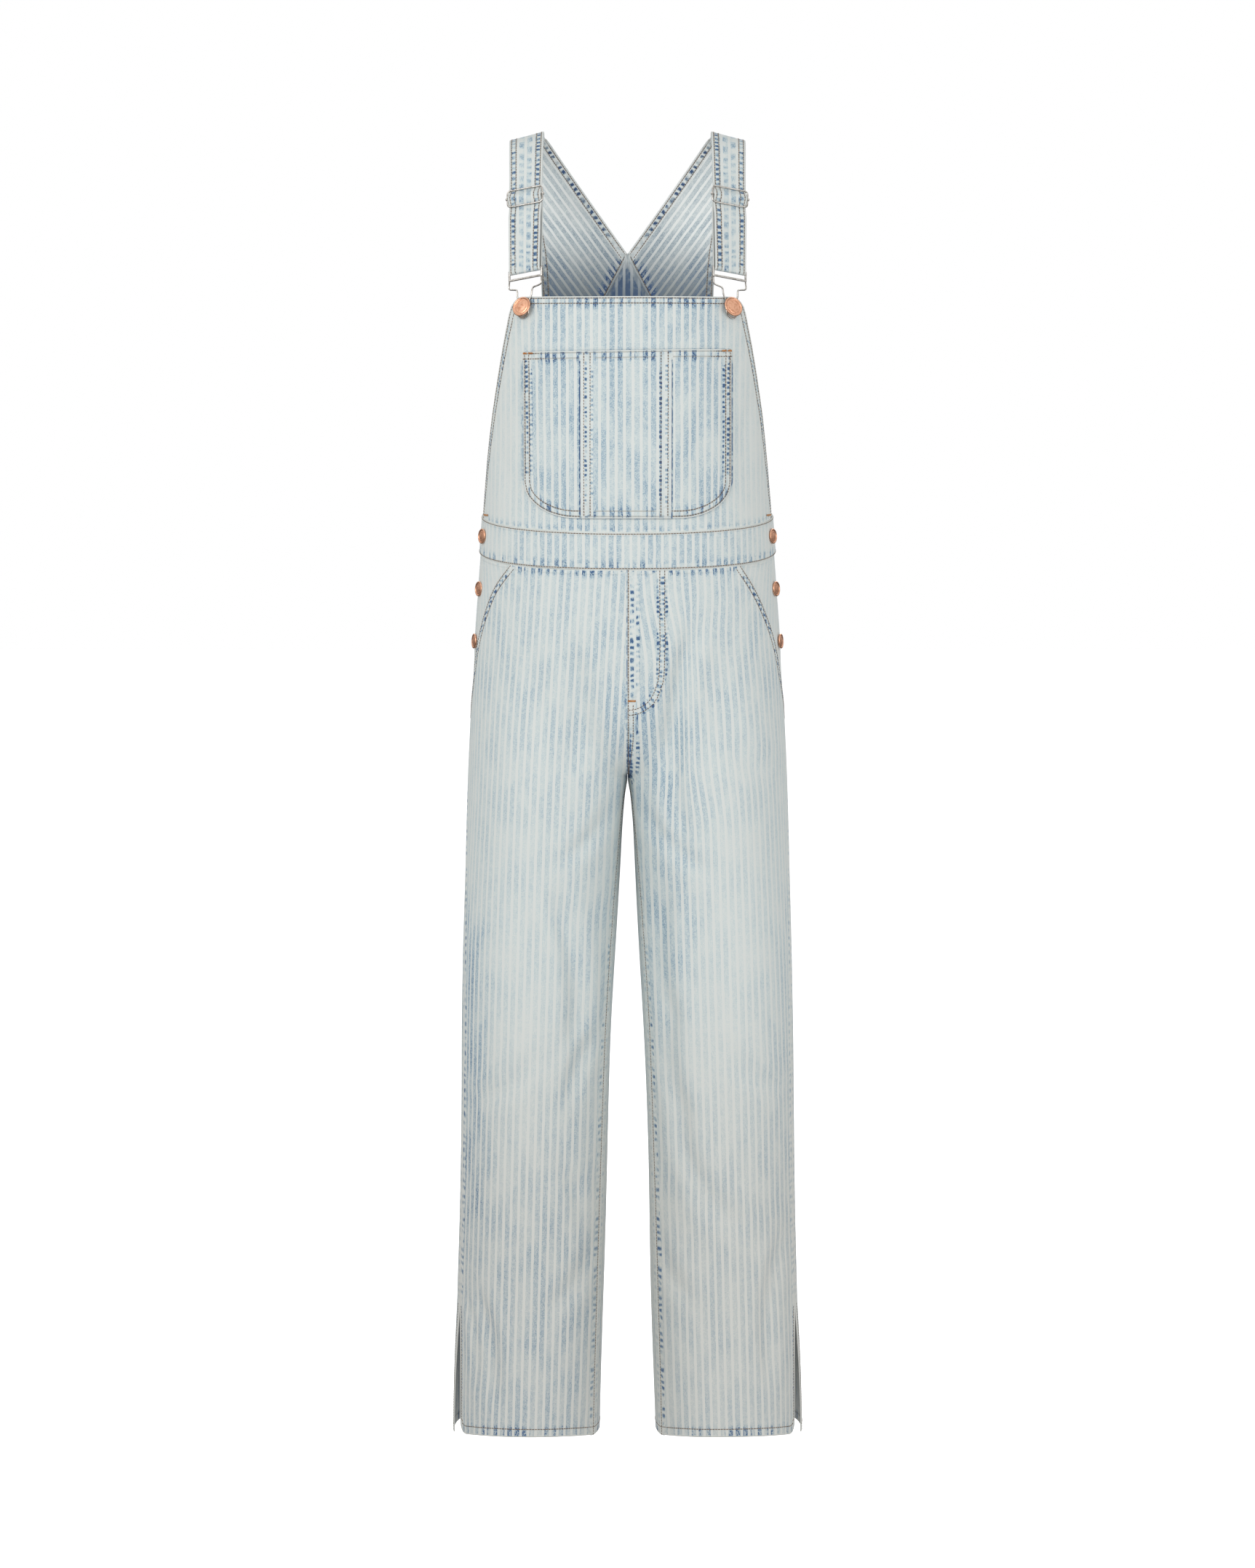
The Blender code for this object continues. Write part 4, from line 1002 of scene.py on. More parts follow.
@dataclass
class Cloth:
    """One cut piece of cloth, laid in the garment's shape, with its wear, its painted shade and its sewing."""

    name: str
    lay: Callable[[Array, Array], Array]
    columns: Array
    rows: Array
    outward: tuple[float, float, float]
    nodes: tuple[str, ...] = ()
    thickness: float = CLOTH
    centred: bool = False
    face: Optional[bpy.types.Material] = None
    reverse: Optional[bpy.types.Material] = None
    fade: Callable[[Array], Array] = lambda points: np.ones(len(points))
    # Painted shade by default: the cloth darkens from the knee towards the hem
    ecru: Callable[[Array], Array] = lambda points: ease((-860.0 - points[:, 2]) / 400.0)
    halo: Callable[[Array], Array] = lambda points: np.full(len(points), FAR)
    pull: Callable[[Array, Array], Array] = lambda x, z: np.ones_like(x)
    grain_x: Callable[[Array], Array] = lambda z: 0.0 * z
    gather: Callable[[Array, Array], Array] = lambda x, z: 0.0 * x
    weave: Optional[Callable[[Array, Array, Array], tuple[Array, Array]]] = None
    phase: float = 0.3
    pitch: float = STRIPE
    seams: list[Seam] = field(default_factory=list)
    threads: list[Row] = field(default_factory=list)
    cut: Optional[tuple[float, float]] = None
    both_sides: bool = False

    def sew(self, chart: Chart, across: Array, z: Array, rows: Sequence[float] = (), inward: float = 1.0,
            lift: float = 0.0, **wear: object) -> None:
        """Add a seam or hem with its rows of stitches.

        Args:
            chart: the surface that it runs on.
            across: its places across.
            z: its heights.
            rows: distances of the thread rows from it.
            inward: 1 if the rows lie to the left of its way seen from outside, -1 to the right.
            lift: how far the piece's outer face stands off the surface.
            wear: further fields of the seam.
        """
        self.seams.append(Seam(chart.at(across, z, lift), rows=tuple(rows), **wear))
        for distance in rows:
            near, height = inset(chart, across, z, inward * distance)
            self.thread(chart, near, height, lift)

    def thread(self, chart: Chart, across: Array, z: Array, lift: float = 0.0, **kind: object) -> None:
        """Add one row of stitches along a path on a surface, and its underside where that shows.

        Args:
            chart: the surface.
            across: the path's places across.
            z: its heights.
            lift: how far the cloth's outer face stands off.
            kind: further fields of the row.
        """
        normals = chart.normal(across, z) * np.array([chart.side, 1.0, 1.0])
        self.threads.append(Row(chart.at(across, z, lift + THREAD_STAND), normals, **kind))
        if self.both_sides:
            self.threads.append(Row(chart.at(across, z, lift - CLOTH - THREAD_STAND), -normals, **kind))

    def tack(self, chart: Chart, across: float, z: float, way: tuple[float, float], lift: float = 0.0,
             count: int = 9) -> None:
        """Add a bartack: short stitches side by side over a length.

        Args:
            chart: the surface that it lies on.
            across: its middle, as x.
            z: its height.
            way: its half length as a step across and up, in the chart's own measure.
            lift: how far the cloth stands off there.
            count: how many stitches it has.
        """
        q, size = np.linspace(-1.0, 1.0, count), math.hypot(*way)
        scale = 1.0 if isinstance(chart, TrunkChart) else 1.0 / PANEL_WIDTH
        for share in (-0.5, 0.5):
            over = share * TACK_GAP * np.array([-way[1], way[0]]) / size
            path_x = across + (way[0] * q + over[0]) * scale
            self.thread(chart, path_x, z + way[1] * q + over[1], lift + TACK_STAND,
                        pitch=2.0 * size / count, length=TACK_LENGTH, width=TACK_WIDTH,
                        kind=ThreadKind.BARTACK)

    def build(self, wardrobe: Wardrobe) -> bpy.types.Object:
        """Make the piece and its stitches.

        Args:
            wardrobe: the finishes.

        Returns:
            The piece of cloth.
        """
        bm = bmesh.new()
        wide, tall = len(self.columns), len(self.rows)
        bmesh.ops.create_grid(bm, x_segments=wide - 1, y_segments=tall - 1, size=1.0)
        mesh = bpy.data.meshes.new(self.name)
        bm.to_mesh(mesh)
        bm.free()
        flat = np.empty(len(mesh.vertices) * 3)
        mesh.vertices.foreach_get("co", flat)
        flat = flat.reshape(-1, 3)
        column = np.rint((flat[:, 0] + 1.0) / 2.0 * (wide - 1)).astype(int)
        row = np.rint((1.0 - flat[:, 1]) / 2.0 * (tall - 1)).astype(int)
        points = self.lay(self.columns[column], self.rows[row])
        mesh.vertices.foreach_set("co", (points * MM).ravel())
        grid = np.empty((tall, wide, 3))
        grid[row, column] = points
        self.add_weave(mesh, grid, row, column)
        self.add_wear(mesh, points, row * wide + column, (tall, wide))
        mesh.update()
        if self.faces_in(mesh):
            mesh.flip_normals()
        mesh.materials.append(self.face or wardrobe.denim)
        mesh.materials.append(self.reverse or wardrobe.reverse)
        mesh.shade_smooth()
        made = bpy.data.objects.new(self.name, mesh)
        bpy.context.scene.collection.objects.link(made)
        wall = made.modifiers.new("cloth", "SOLIDIFY")
        wall.thickness, wall.offset = self.thickness * MM, 0.0 if self.centred else -1.0
        wall.use_even_offset = wall.use_quality_normals = True
        wall.material_offset = 1
        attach(made, BODY)
        if self.nodes:
            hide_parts(*self.nodes)
        sewn = [self.sew_threads(kind, wardrobe) for kind in ThreadKind]
        sewn = [piece for piece in sewn if piece]
        self.declare(grid)
        log.info("%s: %d points, %d rows of stitches", self.name, len(points), len(self.threads))
        return made

    def add_weave(self, mesh: bpy.types.Mesh, grid: Array, row: Array, column: Array) -> None:
        """Give the mesh its place in the stripes, counted in stripes from the piece's grain line.

        Args:
            mesh: the piece's mesh.
            grid: its points in rows and columns.
            row: each point's row.
            column: each point's column.
        """
        over = np.diff(grid, axis=1)
        over[:, :, 1] *= self.pull(np.abs(grid[:, 1:, 0]), grid[:, 1:, 2])
        over = np.linalg.norm(over, axis=2)
        u = np.concatenate([np.zeros((grid.shape[0], 1)), np.cumsum(over, axis=1)], axis=1)
        down = np.linalg.norm(np.diff(grid, axis=0), axis=2)
        v = np.concatenate([np.zeros((1, grid.shape[1])), np.cumsum(down, axis=0)], axis=0)
        grain = self.grain_x(grid[:, :, 2].mean(axis=1))
        for i, line in enumerate(grid):
            x = line[:, 0] if line[-1, 0] > line[0, 0] else -line[:, 0]
            target = grain[i] if line[-1, 0] > line[0, 0] else -grain[i]
            order = np.argsort(x)
            u[i] -= np.interp(target, x[order], u[i][order])
        u += self.gather(np.abs(grid[:, :, 0]), grid[:, :, 2])
        if self.weave:
            u, v = self.weave(grid, u, v)
            self.cut = (float(np.ptp(u)) * MM, float(np.ptp(v)) * MM)
        layer = mesh.uv_layers.new(name="cloth")
        corner = np.empty(len(mesh.loops), dtype=int)
        mesh.loops.foreach_get("vertex_index", corner)
        place = np.stack([u[row, column] / self.pitch + self.phase, v[row, column] / STRIPE], axis=1)
        layer.uv.foreach_set("vector", place[corner].ravel())

    def add_wear(self, mesh: bpy.types.Mesh, points: Array, cell: Array, shape: tuple[int, int]) -> None:
        """Store the nearest seam, the wash and the painted shade at each point.

        Args:
            mesh: the piece's mesh.
            points: its points.
            cell: each point's number in the grid that the piece was laid on.
            shape: rows and columns of that grid.
        """
        count = len(points)
        layers = {name: np.zeros(count) for name in ("seam_run", "seam_deep", "seam_turn", "seam_band",
                  "seam_row", "seam_row2", "seam_mark", "seam_mark2", "seam_ridge", "seam_reach")}
        layers["seam_pitch"], best = np.full(count, Seam.pitch), np.full(count, FAR)
        nearest = np.full(count, -1)
        for number, seam in enumerate(self.seams):
            off, run = seam.measure(points)
            if seam.towards:
                behind = (points - seam.points.mean(axis=0)) @ np.array(seam.towards) < -0.3
                off = np.where(behind, FAR, off)
            near = off < best
            nearest = np.where(near, number, nearest)
            best = np.where(near, off, best)
            rows = [*seam.rows, ABSENT, ABSENT]
            marks = [*(seam.marks or seam.rows), ABSENT, ABSENT]
            facts = {"seam_run": run + RUN_STEP * number, "seam_deep": seam.deep, "seam_band": seam.band,
                     "seam_turn": float(seam.along_stripes), "seam_row": rows[0], "seam_row2": rows[1],
                     "seam_mark": marks[0], "seam_mark2": marks[1], "seam_ridge": seam.ridge,
                     "seam_pitch": seam.pitch, "seam_reach": seam.reach}
            for name, value in facts.items():
                layers[name] = np.where(near, value, layers[name])
        layers["seam_off"], layers["seam_clear"] = best, self.one_seam(nearest, cell, shape)
        layers["fade"], layers["ecru"], layers["halo"] = (f(points) for f in (self.fade, self.ecru, self.halo))
        for name, values in layers.items():
            mesh.attributes.new(name, "FLOAT", "POINT").data.foreach_set("value", values)

    @staticmethod
    def one_seam(nearest: Array, cell: Array, shape: tuple[int, int]) -> Array:
        """Where a point and its neighbours in the grid share their nearest seam, 1, elsewhere 0.

        Args:
            nearest: each point's nearest seam.
            cell: each point's number in the grid.
            shape: rows and columns of the grid.

        Returns:
            The ones and zeros, by point.
        """
        grid = np.empty(shape)
        grid.flat[cell] = nearest
        wide = np.pad(grid, 1, mode="edge")
        around = [wide[1 + i:1 + i + shape[0], 1 + k:1 + k + shape[1]] for i in (-1, 0, 1) for k in (-1, 0, 1)]
        return (np.max(around, axis=0) == np.min(around, axis=0)).flat[cell].astype(float)

    def faces_in(self, mesh: bpy.types.Mesh) -> bool:
        """Whether the faces look into the garment.

        Args:
            mesh: the piece's mesh.

        Returns:
            True where they have to be turned round.
        """
        normals = np.empty(len(mesh.polygons) * 3)
        mesh.polygons.foreach_get("normal", normals)
        return normals.reshape(-1, 3).sum(axis=0) @ np.array(self.outward) < 0.0

    def sew_threads(self, kind: ThreadKind, wardrobe: Wardrobe) -> Optional[bpy.types.Object]:
        """Join the stitches of one thread into one piece.

        Args:
            kind: the thread.
            wardrobe: the finishes.

        Returns:
            The piece, or None where the cloth has no such row.
        """
        rows = [row for row in self.threads if row.kind is kind]
        if not rows:
            return None
        bm = bmesh.new()
        bmesh.ops.create_uvsphere(bm, u_segments=6, v_segments=4, radius=0.5)
        one = bpy.data.meshes.new("one_stitch")
        bm.to_mesh(one)
        bm.free()
        shape = np.array([v.co[:] for v in one.vertices])
        faces = [tuple(p.vertices) for p in one.polygons]
        bpy.data.meshes.remove(one)
        places = np.concatenate([self.place_stitches(row, shape) for row in rows])
        count, size = len(places), len(shape)
        all_faces = [tuple(i * size + k for k in face) for i in range(count) for face in faces]
        mesh = bpy.data.meshes.new(f"{self.name}_{kind.value}")
        mesh.from_pydata((places.reshape(-1, 3) * MM).tolist(), [], all_faces)
        mesh.shade_smooth()
        mesh.materials.append(wardrobe.brown if kind is ThreadKind.TOPSTITCH else wardrobe.rust)
        made = bpy.data.objects.new(mesh.name, mesh)
        bpy.context.scene.collection.objects.link(made)
        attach(made, BODY)
        return made

    @staticmethod
    def place_stitches(row: Row, shape: Array) -> Array:
        """Points of every stitch of a row, each a copy of one rounded stitch.

        Args:
            row: the row.
            shape: the points of one stitch.

        Returns:
            The points, by stitch.
        """
        run = np.concatenate([[0.0], np.cumsum(np.linalg.norm(np.diff(row.points, axis=0), axis=1))])
        count = max(1, int(run[-1] / row.pitch))
        middles = (np.arange(count) + 0.5) * run[-1] / count
        half = 0.35 * row.pitch
        at = np.stack([np.interp(middles, run, row.points[:, k]) for k in range(3)], axis=1)
        ahead = np.stack([np.interp(middles + half, run, row.points[:, k]) for k in range(3)], axis=1)
        behind = np.stack([np.interp(middles - half, run, row.points[:, k]) for k in range(3)], axis=1)
        up = np.stack([np.interp(middles, run, row.normals[:, k]) for k in range(3)], axis=1)
        way = ahead - behind
        way /= np.maximum(np.linalg.norm(way, axis=1, keepdims=True), 1e-9)
        aside = np.cross(up, way)
        aside /= np.maximum(np.linalg.norm(aside, axis=1, keepdims=True), 1e-9)
        up = np.cross(way, aside)
        return (at[:, None] + way[:, None] * shape[None, :, :1] * row.length
                + aside[:, None] * shape[None, :, 1:2] * row.width
                + up[:, None] * shape[None, :, 2:3] * row.height)

    def declare(self, grid: Array) -> None:
        """Work out the size and area of the piece as cut, without keeping or passing them on.

        Args:
            grid: its points in rows and columns.
        """
        across = np.linalg.norm(np.diff(grid, axis=1), axis=2)
        down = np.linalg.norm(np.diff(grid, axis=0), axis=2)
        width, length = self.cut or (across.sum(axis=1).max() * MM, down.sum(axis=0).max() * MM)
        cells = np.cross(grid[1:, :-1] - grid[:-1, 1:], grid[1:, 1:] - grid[:-1, :-1])
        area = 0.5 * np.linalg.norm(cells, axis=2).sum() * MM * MM
        min(area, width * length)


def smooth_path(points: Sequence[tuple[float, float]]) -> tuple[Array, Array]:
    """Even points along a smooth curve through a few given ones.

    Args:
        points: the given points.

    Returns:
        Their two coordinates.
    """
    given = np.array(points, dtype=float)
    run = np.concatenate([[0.0], np.cumsum(np.linalg.norm(np.diff(given, axis=0), axis=1))])
    even = run[-1] * ALONG
    tables = [SizeTable(("run", "value"), tuple(zip(run, given[:, k]))) for k in (0, 1)]
    return tables[0].at("value", even), tables[1].at("value", even)


def lapped(beyond: Array, depth: float = 1.4) -> Array:
    """How far cloth sinks below the piece that laps over it, at a distance past the seam."""
    return -depth * ease((beyond + 0.5) / 2.0)


@dataclass(frozen=True)
class Patch:
    """A soft-edged patch, used both for wear and for painted shade, placed by its distance from the middle and
    its height.
    """

    x: float
    z: float
    wide: float
    tall: float

    def over(self, x: Array, z: Array) -> Array:
        """How much of the patch lies over places, from 0 to 1."""
        return np.exp(-((z - self.z) / self.tall) ** 2) * np.exp(-((x - self.x) / self.wide) ** 2)


# The crotch and shade patches are painted shade, where the legs meet and low on the left leg's inner side; the
# thigh and knee patches are wear
CROTCH_SHADE_PATCH = Patch(0.0, -625.0, 34.0, 60.0)
SHADE_PATCH = Patch(66.0, -1080.0, 24.0, 130.0)
THIGH_PATCH = Patch(125.0, -790.0, 55.0, 150.0)
KNEE_PATCH = Patch(105.0, -1000.0, 50.0, 130.0)


def leg_wear(points: Array) -> Array:
    """How much blue the legs hold: the wash leaves less on the outer thighs and the knees, and painted shade
    adds blue at the crotch, inside the right thigh and low on the left leg.

    Args:
        points: points of a leg panel.

    Returns:
        The amounts.
    """
    size, z, right = np.abs(points[:, 0]), points[:, 2], points[:, 0] > 0.0
    crotch, thigh, knee = (patch.over(size, z) for patch in (CROTCH_SHADE_PATCH, THIGH_PATCH, KNEE_PATCH))
    # Painted shade along the fold inside the right thigh
    inner = right * np.exp(-((size - 42.0) / 30.0) ** 2)
    inner = inner * ease((-590.0 - z) / 80.0) * ease((z + 1010.0) / 160.0)
    # Painted shade low on the left leg's outer side
    outer_calf_shade = (1.0 - right) * ease((size - 142.0) / 32.0) * ease((20.0 - points[:, 1]) / 40.0)
    outer_calf_shade = outer_calf_shade * ease((-830.0 - z) / 60.0) * ease((z + 1240.0) / 90.0)
    # Painted shade low on the left leg's inner side
    shade = (1.0 - right) * SHADE_PATCH.over(size, z)
    side = ease((size - 145.0) / 40.0) * (1.0 - ease((-800.0 - z) / 80.0))
    shin = ease((-1130.0 - z) / 120.0)
    left_over = 0.32 * crotch + 0.4 * inner + 0.7 * outer_calf_shade + 0.3 * shade + (0.28 - 0.36 * right) * shin
    return 0.88 + left_over - (0.22 + 0.12 * right) * thigh - 0.42 * knee - 0.3 * side


@dataclass
class LegPanel:
    """One leg panel, from under the waistband down to the hem, open at its slit."""

    side: Side
    part: Part
    folds: tuple[Fold, ...] = ()
    mouth_rows: tuple[float, ...] = (1.6, 7.4)
    hem_row: float = 9.2
    slit_row: float = 6.4
    inseam_row: float = 1.2
    slit_corner: float = 0.12
    inseam_marks: float = -880.0
    inseam_points: int = 160
    pitch: float = 8.4
    mesh_pitch: float = 4.4

    @property
    def chart(self) -> TrouserChart:
        """The panel's surface."""
        return TrouserChart(side=self.side.value, folds=self.folds, part=self.part)

    def edges(self, nominal: Array) -> tuple[Array, Array]:
        """The panel's two long edges, as shares of its full width.

        Args:
            nominal: the heights.

        Returns:
            Both edges.
        """
        if self.part is Part.FRONT:
            return 0.0 * nominal, np.where(nominal > MOUTH_END, MOUTH.at(self.side.word, nominal), 1.0)
        return side_lap(nominal), np.ones_like(nominal)

    def settle(self, w: Array, nominal: Array) -> tuple[Array, Array]:
        """Place in the worn shape.

        Args:
            w: share of the way from one long edge to the other.
            nominal: height before the waist's rise and the hem's lift.

        Returns:
            The chart's place across and the height.
        """
        start, end = self.edges(nominal)
        along = start + (end - start) * w
        pull = SLIT_PULL * slit_share(nominal)
        if self.part is Part.FRONT:
            rise = band_foot(along) - BAND_FOOT
            over = np.clip((w - 1.0) / self.slit_corner + 1.0, 0.0, 1.0)
            lift = HEM_FRONT_LIFT * (1.0 - (2.0 * w - 1.0) ** 2 + 1.4 * (1.0 - np.sqrt(1.0 - over**2)))
            along = along - pull * np.clip((w - 1.0 + SLIT_SHARE) / SLIT_SHARE, 0.0, 1.0)
        else:
            rise, lift = back_band_foot(along) - BAND_FOOT, 0.0 * w
            along = along + pull * np.clip((SLIT_SHARE - w) / SLIT_SHARE, 0.0, 1.0)
        near_waist = ease((nominal - FLY_END) / (BAND_FOOT - FLY_END))
        near_hem = ease((HEM_LIFT_TOP - nominal) / (HEM_LIFT_TOP - HEM))
        return along, nominal + rise * near_waist + lift * near_hem

    def reach(self, w: Array, nominal: Array) -> Array:
        """Let the laps at the long edges run out where there is nothing to lap under.

        Args:
            w: share of the way from one long edge to the other.
            nominal: height before the waist's rise and the hem's lift.

        Returns:
            The shares, with their laps drawn in.
        """
        low = 0.05 + 0.95 * ease((nominal + 690.0) / 60.0)
        high = 0.05 + 0.95 * ease((-690.0 - nominal) / 40.0)
        if self.part is Part.FRONT:
            return np.where(w < 0.0, w * low, w)
        closed = 0.05 + 0.95 * ease((nominal - SLIT_TOP) / 12.0)
        w = np.where(w < 0.0, w * closed, w)
        return np.where(w > 1.0, 1.0 + (w - 1.0) * (high if self.side is Side.RIGHT else 1.0), w)

    def lay(self, w: Array, nominal: Array) -> Array:
        """Points of the panel's outer face.

        Args:
            w: share of the way from one long edge to the other.
            nominal: height before the waist's rise and the hem's lift.

        Returns:
            The points.
        """
        w = self.reach(w, nominal)
        under = np.minimum(lapped(nominal - BAND_FOOT), lapped(np.maximum(-w, w - 1.0) * PANEL_WIDTH - 0.8))
        return self.chart.at(*self.settle(w, nominal), under)

    def path(self, w: Array, nominal: Array) -> tuple[Array, Array]:
        """Chart places of a line over the panel."""
        return self.settle(w + 0.0 * nominal, nominal + 0.0 * w)

    def heights(self) -> Array:
        """Rows of the mesh, closer together where the crotch turns under.

        Returns:
            Their heights.
        """
        waist = BAND_FOOT - stations(BAND_FOOT - FLY_END, 4.6)[:-3] * (BAND_FOOT - FLY_END)
        turn = FLY_END + (CROTCH - FLY_END) * np.sin(np.radians(np.linspace(0.0, 90.0, 24)))
        shin = CROTCH - 1.2 - stations(CROTCH - 1.2 - HEM, 4.8) * (CROTCH - 1.2 - HEM)
        return np.concatenate([BAND_FOOT + LAP * np.array([1.0, 0.5, 0.2]), waist, turn[1:], shin])

    def gather(self, x: Array, z: Array) -> Array:
        """Sideways draw of the stripes into the thigh crease of the right front.

        Args:
            x: distances from the middle.
            z: the heights.

        Returns:
            The draw in millimetres.
        """
        if self.part is Part.BACK or self.side is Side.LEFT:
            return 0.0 * x
        along = np.clip((-510.0 - z) / 195.0, 0.0, 1.0)
        strength = 7.0 * ease((-495.0 - z) / 60.0) * ease((z + 760.0) / 80.0)
        return strength * np.tanh((x - (67.0 - 6.0 * along)) / 10.0) * np.exp(-((x - 64.0) / 60.0) ** 2)

    def build(self, wardrobe: Wardrobe) -> bpy.types.Object:
        """Cut, sew and lay the panel.

        Args:
            wardrobe: the finishes.

        Returns:
            The panel.
        """
        share, chart = stations(PANEL_WIDTH, self.mesh_pitch), self.chart
        tuck = LAP / PANEL_WIDTH * np.array([1.0, 0.5, 0.15])
        front = self.part is Part.FRONT
        before = -tuck if (not front or self.side is Side.LEFT) else []
        after = [] if front else 1.0 + tuck[::-1]
        cloth = Cloth(
            f"{self.part.word}_leg_{self.side.word}_cloth", self.lay,
            np.concatenate([before, share, after]), self.heights(), (0.0, self.part.value, 0.0),
            nodes=(f"{self.part.word}_leg_{self.side.word}",), fade=leg_wear, gather=self.gather,
            grain_x=lambda z: self.side.value * CREASE.at("x", z), pitch=self.pitch)
        edge, turn = (1.0, -1.0) if front else (0.0, 1.0)
        side_wear, inner_wear = SEAM_WEAR[self.part, self.side]
        cloth.sew(chart, *self.path(ALONG, held(BAND_FOOT)), band=5.0, deep=1.0, along_stripes=False)
        if front:
            cloth.pull = lambda x, z: 1.0 - 0.8 * ease((-540.0 - z) / 90.0) * ease((96.0 - x) / 50.0)
            cloth.halo = self.beside_fly
            cloth.sew(chart, *self.path(held(1.0), BAND_FOOT + (MOUTH_END - BAND_FOOT) * ALONG),
                      rows=self.mouth_rows, inward=turn, marks=(2.0, 3.9), deep=1.3, pitch=7.6)
        cloth.sew(chart, *self.path(held(edge), MOUTH_END + (SLIT_TOP - MOUTH_END) * ALONG),
                  band=10.0, deep=side_wear, marks=(2.0,), pitch=8.6, reach=8.0)
        cloth.sew(chart, *self.path(held(edge), SLIT_TOP + (HEM - SLIT_TOP) * ALONG),
                  rows=(self.slit_row,), inward=turn, band=7.0, deep=0.6)
        cloth.sew(chart, *self.path(ALONG, held(HEM)), rows=(self.hem_row,), along_stripes=False)
        for top, foot, deep in ((CROTCH - 16.0, self.inseam_marks, 0.3), (self.inseam_marks, HEM, inner_wear)):
            down = np.linspace(top, foot, self.inseam_points)
            cloth.sew(chart, *self.path(np.full_like(down, 1.0 - edge), down),
                      rows=(self.inseam_row,) if front else (), inward=-turn, marks=(1.8,), reach=8.5,
                      band=11.0, deep=deep, pitch=8.2)
        self.sew_middle(cloth, chart)
        return cloth.build(wardrobe)

    def beside_fly(self, points: Array) -> Array:
        """Distance to the dark edge beside the fly and below it; far for anything else.

        Args:
            points: points of the panel.

        Returns:
            The distances.
        """
        x, z = np.abs(points[:, 0]), points[:, 2]
        if self.side is Side.LEFT:
            low = ease((-596.0 - z) / 20.0) * ease((z + 668.0) / 30.0)
            return np.where(z > CROTCH - 4.0, 0.7 + 0.5 * low + (1.2 - 0.85 * low) * x, FAR)
        beside = 1.0 + 0.5 * np.abs(x - 9.6) + 3.0 * ease((-646.0 - z) / 24.0)
        low = 2.3 - 1.1 * ease((-644.0 - z) / 40.0) + 0.6 * np.maximum(x - 4.0, 0.0)
        return np.where((z < FLY_END - 2.0) & (z > CROTCH - 4.0), np.minimum(beside, low), FAR)

    def sew_middle(self, cloth: Cloth, chart: TrouserChart) -> None:
        """Sew the centre seam, in front with the mock fly's curved double row.

        Args:
            cloth: the panel's cloth.
            chart: its surface.
        """
        front = self.part is Part.FRONT
        low = np.concatenate([np.linspace(BAND_FOOT, FLY_END, 60)[:-1],
                              FLY_END + (CROTCH - FLY_END) * np.sin(np.linspace(0.0, 0.5 * math.pi, 60))])
        edge = np.full(len(low), 0.0 if front else 1.0)
        laps_over = self.side is Side.RIGHT
        inward = 1.0 if front else -1.0
        cloth.sew(chart, *self.path(edge, low), rows=(0.9,) if laps_over else (), inward=inward,
                  marks=(2.4, 9.0), band=13.0 if laps_over else 2.0, deep=1.15 if laps_over else 0.0,
                  pitch=7.4, reach=4.6)
        if not laps_over:
            return
        if not front:
            along, z = inset(chart, *self.path(edge, low), inward * 6.0)
            cloth.thread(chart, along, z)
            return
        for shift in (0.0, FLY_ROWS_APART):
            x, z = smooth_path([(x + shift * over, z + shift * down) for x, z, over, down in FLY_ROW])
            cloth.thread(chart, chart.across_at(x, z), z)
        x, z = smooth_path(FLY_WORN)
        cloth.seams.append(Seam(chart.at(chart.across_at(x, z), z), marks=(0.0, 3.0), band=4.2, deep=1.15,
                                ridge=0.0, pitch=5.6))
        below = low[low < -617.0]
        closing = 6.1 - 4.6 * ease((-655.0 - below) / (-655.0 - CROTCH))
        cloth.thread(chart, chart.across_at(closing, below), below)
        cloth.tack(chart, *FLY_TACK, (2.8, 0.0))


